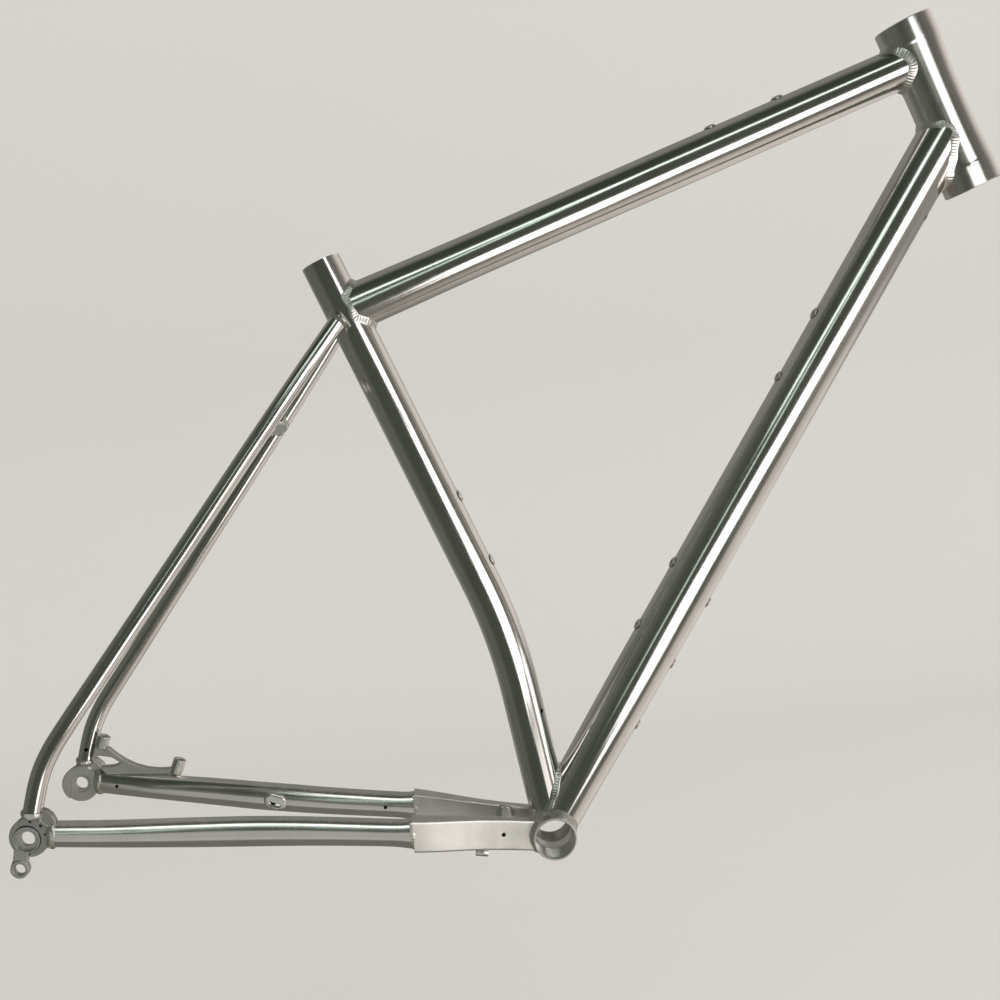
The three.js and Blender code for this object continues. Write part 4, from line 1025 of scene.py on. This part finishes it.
def yoke_weld(s):
    """Bead where the yoke's outside meets the shell and the seat tube."""
    zt, zb = lambda x: yoke_top(x), lambda x: yoke_top(x) - YOKE_HEIGHT
    meet = sd_min(sd_bb, ST.sd, DT.sd)
    loop = []
    m = 120
    # go round the yoke's rounded-box section and walk forward from x = -60 until the shell is met
    hz = YOKE_HEIGHT / 2
    o0, i0 = 22.4, 12.4
    pts = []
    r = 1.6
    def sect(t):
        # unit square walk with rounded corners in (a, b) of -1..1
        w, h = 1.0, 1.0
        per = t * 4
        k = int(per) % 4
        f = per - int(per)
        return [(1, -1 + 2 * f), (1 - 2 * f, 1), (-1, 1 - 2 * f), (-1 + 2 * f, -1)][k]
    out, na = [], []
    for q in range(m):
        a, b = sect(q / m)
        nrm = np.array([0, s * (1.0 if a == 1 else -1.0 if a == -1 else 0.0), (1.0 if b == 1 else -1.0 if b == -1 else 0.0)])
        xs_ = np.linspace(-50, -5, 200)
        o, i = yoke_plan_at(xs_)
        y = (o + i) / 2 + a * (o - i) / 2 * 0.985
        z = zt(xs_) - hz + b * hz * 0.985
        line = np.stack([xs_, s * y, z], -1)
        d = meet(line)
        hit = np.argmax(d < 0.1) if (d < 0.1).any() else len(xs_) - 1
        out.append(line[hit]); na.append(unit(nrm + 1e-6))
    out = np.array(out)
    for _ in range(2):
        out = (np.roll(out, 1, 0) + 2 * out + np.roll(out, -1, 0)) / 4
    na = np.array(na)
    for _ in range(3):
        na = unit(np.roll(na, 1, 0) + 2 * na + np.roll(na, -1, 0))
    g = grad(meet, out)
    bead_loop(f"weld_{side_name[s]}_yoke_shell", out, na, g, "yoke", width=7.4, height=0.5, pitch=2.2, curve=14)


for s in (-1, 1):
    yoke_weld(s)

# ------------------------------------------------------------------ studio
def stage_material(name, colour, rough):
    m = bpy.data.materials.new(name); m.use_nodes = True
    nt = m.node_tree; b = nt.nodes["Principled BSDF"]
    n = nt.nodes.new("ShaderNodeTexNoise"); n.inputs["Scale"].default_value = 3.0; n.inputs["Detail"].default_value = 2.0
    c = nt.nodes.new("ShaderNodeTexCoord"); nt.links.new(c.outputs["Object"], n.inputs["Vector"])
    x = nt.nodes.new("ShaderNodeMix"); x.data_type = "RGBA"
    x.inputs[6].default_value = (*colour, 1); x.inputs[7].default_value = (*[min(1, q * 1.015) for q in colour], 1)
    nt.links.new(n.outputs["Fac"], x.inputs[0]); nt.links.new(x.outputs[2], b.inputs["Base Color"])
    b.inputs["Roughness"].default_value = rough
    b.inputs["Specular IOR Level"].default_value = 0.15
    return m


FLOOR_Z, WALL_Y, BEND = -0.30, 2.05, 0.8
prof = [(-0.55, FLOOR_Z)] + [(y, FLOOR_Z) for y in np.linspace(-0.2, WALL_Y - BEND, 8)]
prof += [(WALL_Y - BEND + BEND * math.sin(a), FLOOR_Z + BEND - BEND * math.cos(a)) for a in np.linspace(0.08, math.pi / 2, 20)]
prof += [(WALL_Y, z) for z in np.linspace(FLOOR_Z + BEND + 0.2, 3.4, 8)]
xs_ = np.linspace(-2.6, 2.6, 20)
sv = [(x, y, z) for y, z in prof for x in xs_]
nx = len(xs_)
sf = [(r * nx + c, r * nx + c + 1, (r + 1) * nx + c + 1, (r + 1) * nx + c) for r in range(len(prof) - 1) for c in range(nx - 1)]
me = bpy.data.meshes.new("sweep"); me.from_pydata(sv, [], sf); me.update()
me.polygons.foreach_set("use_smooth", np.ones(len(me.polygons), bool))
sweep = bpy.data.objects.new("studio_sweep", me)
bpy.context.scene.collection.objects.link(sweep)
me.materials.append(stage_material("paper", (0.735, 0.73, 0.705), 0.75))
sweep.visible_glossy = False

world = bpy.data.worlds.new("studio"); bpy.context.scene.world = world; world.use_nodes = True
nt = world.node_tree; N, L = nt.nodes, nt.links
N.clear()
tc = N.new("ShaderNodeTexCoord"); sep = N.new("ShaderNodeSeparateXYZ"); L.new(tc.outputs["Generated"], sep.inputs[0])


def wmap(sock, a, b, c, d):
    r = N.new("ShaderNodeMapRange"); r.inputs[1].default_value = a; r.inputs[2].default_value = b; r.inputs[3].default_value = c; r.inputs[4].default_value = d
    r.interpolation_type = "SMOOTHSTEP"
    L.new(sock, r.inputs[0]); return r.outputs[0]


def wmix(f, a, b):
    x = N.new("ShaderNodeMix"); x.data_type = "RGBA"
    L.new(f, x.inputs[0])
    for k, v in ((6, a), (7, b)):
        if hasattr(v, "is_linked"): L.new(v, x.inputs[k])
        else: x.inputs[k].default_value = (*v, 1)
    return x.outputs[2]


def wmul(a, b):
    x = N.new("ShaderNodeMath"); x.operation = "MULTIPLY"; L.new(a, x.inputs[0]); L.new(b, x.inputs[1]); return x.outputs[0]


X_, Y_, Z_ = sep.outputs["X"], sep.outputs["Y"], sep.outputs["Z"]
room = wmix(wmap(Y_, -0.35, 0.35, 0, 1), (0.070, 0.080, 0.064), (0.25, 0.25, 0.225))
room = wmix(wmul(wmap(Z_, 0.55, 0.85, 0, 1), wmap(Y_, 0.1, -0.3, 0, 1)), room, (0.045, 0.055, 0.040))
room = wmix(wmap(X_, -0.6, -0.9, 0, 1), room, (0.13, 0.14, 0.12))
room = wmix(wmap(Z_, -0.40, -0.75, 0, 1), room, (0.19, 0.18, 0.155))
room = wmix(wmul(wmul(wmap(X_, 0.15, 0.65, 0, 1), wmap(Z_, -0.05, -0.35, 0, 1)), wmap(Y_, -0.55, -0.25, 0, 1)), room, (0.66, 0.60, 0.54))
room = wmix(wmul(wmap(X_, 0.40, 0.75, 0, 1), wmap(Y_, -0.85, -0.55, 0, 1)), room, (0.17, 0.16, 0.145))
room = wmix(wmul(wmul(wmap(X_, 0.15, 0.65, 0, 1), wmap(Z_, -0.30, -0.50, 0, 1)), wmap(Y_, -0.55, -0.25, 0, 1)), room, (0.60, 0.55, 0.50))
room = wmix(wmul(wmap(X_, 0.18, 0.70, 0, 1), wmap(Y_, -0.40, 0.45, 0, 1)), room, (0.80, 0.74, 0.69))
room = wmix(wmul(wmul(wmap(X_, 0.50, 0.75, 0, 1), wmap(Z_, 0.05, -0.12, 0, 1)), wmap(Z_, -0.42, -0.28, 0, 1)), room, (0.30, 0.285, 0.26))
soft = wmix(wmap(sep.outputs["X"], -0.9, 0.9, 0, 1), (0.82, 0.81, 0.80), (1.06, 1.02, 0.98))
lp = N.new("ShaderNodeLightPath")
both = wmix(lp.outputs["Is Camera Ray"], wmix(lp.outputs["Is Diffuse Ray"], room, soft), (0.62, 0.615, 0.595))
bg = N.new("ShaderNodeBackground"); L.new(both, bg.inputs["Color"]); bg.inputs["Strength"].default_value = 1.0
wo = N.new("ShaderNodeOutputWorld"); L.new(bg.outputs[0], wo.inputs["Surface"])


def area(name, loc, aim, sx, sy, radiance, colour=(1, 1, 1), roll=None, glossy=True, diffuse=True):
    l = bpy.data.lights.new(name, "AREA"); l.shape = "RECTANGLE"; l.size = sx; l.size_y = sy
    l.color = colour; l.energy = radiance * math.pi * sx * sy
    o = bpy.data.objects.new(name, l); bpy.context.scene.collection.objects.link(o)
    z = (Vector(loc) - Vector(aim)).normalized()
    x = Vector(roll) if roll is not None else Vector((0, 0, 1)).cross(z)
    x = (x - z * x.dot(z)).normalized()
    y = z.cross(x)
    m = Matrix((x, y, z)).transposed().to_4x4(); m.translation = Vector(loc)
    o.matrix_world = m
    o.visible_camera = False
    o.visible_glossy = glossy
    o.visible_diffuse = diffuse
    return o


long_tubes = bpy.data.collections.new("long_tubes")
seat = bpy.data.collections.new("seat")
head_only = bpy.data.collections.new("head_only")
rest = bpy.data.collections.new("rest")
lines = bpy.data.collections.new("lines")
for k, o in made.items():
    if "top_tube" in k or "down_tube" in k:
        (long_tubes if "boss" not in k else rest).objects.link(o)
    else:
        rest.objects.link(o)
    if k == "seat_tube":
        seat.objects.link(o)
    if k == "head_tube":
        head_only.objects.link(o)
    if k not in ("seat_tube", "head_tube"):
        lines.objects.link(o)
WARM = (1.0, 0.985, 0.965)
for lamp in (area("window_top", (0.62, -0.80, 0.68), (0.62, 0.0, 0.68), 0.44, 0.36, 2.4, WARM, roll=(1, 0, 0)),
             area("window", (0.51, -0.80, 0.225), (0.51, 0.0, 0.225), 0.62, 0.55, 2.4, WARM, roll=(1, 0, 0)),
             area("window_left", (0.175, -0.80, 0.06), (0.175, 0.0, 0.06), 0.09, 0.30, 2.0, (1.0, 0.975, 0.95), roll=(1, 0, 0)),
             area("window_low", (0.55, -0.80, -0.34), (0.55, 0.0, -0.34), 0.62, 0.46, 1.2, (1.0, 0.955, 0.91), roll=(1, 0, 0)),
             area("window_side", (1.00, -0.80, 0.28), (1.00, 0.0, 0.28), 0.36, 0.46, 2.4, WARM, roll=(1, 0, 0)),
             area("window_far", (2.1, -0.70, -0.22), (0.0, 0.0, 0.1), 0.7, 0.7, 2.0, WARM, roll=(1, 0, 0))):
    lamp.light_linking.receiver_collection = rest
# the long tubes see a window whose top edge slants
for lamp in (area("window_slant", (0.704, -0.80, 0.278), (0.704, 0.0, 0.278), 1.15, 0.50, 2.4, WARM, roll=(0.846, 0, 0.533)),
             area("window_slant_left", (0.16, -0.80, 0.03), (0.16, 0.0, 0.03), 0.14, 0.26, 2.0, (1.0, 0.975, 0.95), roll=(1, 0, 0)),
             area("window_slant_low", (0.42, -0.80, -0.24), (0.42, 0.0, -0.24), 0.44, 0.34, 1.6, (1.0, 0.965, 0.93), roll=(1, 0, 0))):
    lamp.light_linking.receiver_collection = long_tubes
area("seat_window", (0.31, -0.80, 0.75), (0.31, 0.0, 0.75), 0.20, 0.36, 2.4, WARM, roll=(1, 0, 0)).light_linking.receiver_collection = seat


def strip(name, a, b, y, w, rad, colour):
    ax, az = a; bx, bz = b
    c = ((ax + bx) / 2, y, (az + bz) / 2)
    area(name, c, (c[0], 0.0, c[2] - 0.3), math.hypot(bx - ax, bz - az), w, rad, colour, roll=(bx - ax, 0, bz - az)).light_linking.receiver_collection = lines


strip("strip_low", (-0.50, 0.28), (0.16, 1.22), -1.15, 0.095, 1.15, (0.82, 1.0, 0.90))
strip("strip_high", (-0.60, 1.13), (0.95, 1.62), -1.15, 0.23, 1.6, (0.88, 1.0, 0.93))
lower = bpy.data.collections.new("lower_rear")
under = bpy.data.collections.new("lower_rear_without_shell")
for k, o in made.items():
    if "chainstay" in k or "dropout" in k or "hanger" in k or "brake" in k or "port" in k or "yoke" in k or "guide" in k or "bracket_shell" in k:
        lower.objects.link(o)
        if "bracket_shell" not in k:
            under.objects.link(o)
for lamp in (area("ceiling", (0.02, -0.62, 0.92), (-0.2, 0, 0.03), 0.80, 0.16, 2.4, (1.0, 0.99, 0.955), roll=(1, 0, 0)),
             area("front", (-0.35, -1.75, -0.55), (-0.25, 0, 0.04), 2.6, 2.0, 0.38, (1.0, 0.985, 0.93), roll=(1, 0, 0))):
    lamp.light_linking.receiver_collection = under if lamp.name == "ceiling" else lower
upper = bpy.data.collections.new("upper_rear")
for k, o in made.items():
    if "seatstay" in k:
        upper.objects.link(o)
area("stays", (0.25, -0.85, -0.50), (-0.35, 0, 0.20), 0.42, 0.42, 1.9, (1.0, 0.98, 0.95)).light_linking.receiver_collection = upper
area("key", (1.6, -1.2, 2.4), (0, 0.6, 0.2), 1.6, 1.6, 1.5, (1.0, 0.97, 0.94), glossy=False)

# ------------------------------------------------------------------ camera, at the photo's viewing place
cam = bpy.data.cameras.new("photo"); co = bpy.data.objects.new("photo", cam)
bpy.context.scene.collection.objects.link(co)
R = np.array([[0.99382941, -0.03816384, -0.10414715], [-0.10697916, -0.08175945, -0.99089397], [0.02930131, 0.99592114, -0.08533768]])
M = Matrix(((R[0, 0], -R[1, 0], -R[2, 0], -0.048376), (R[0, 1], -R[1, 1], -R[2, 1], -1.083040), (R[0, 2], -R[1, 2], -R[2, 2], 0.394824), (0, 0, 0, 1)))
co.matrix_world = M
cam.sensor_width = 36.0
cam.lens = 43.944
cam.clip_start = 0.01
bpy.context.scene.camera = co
bpy.context.scene.view_settings.view_transform = "Standard"
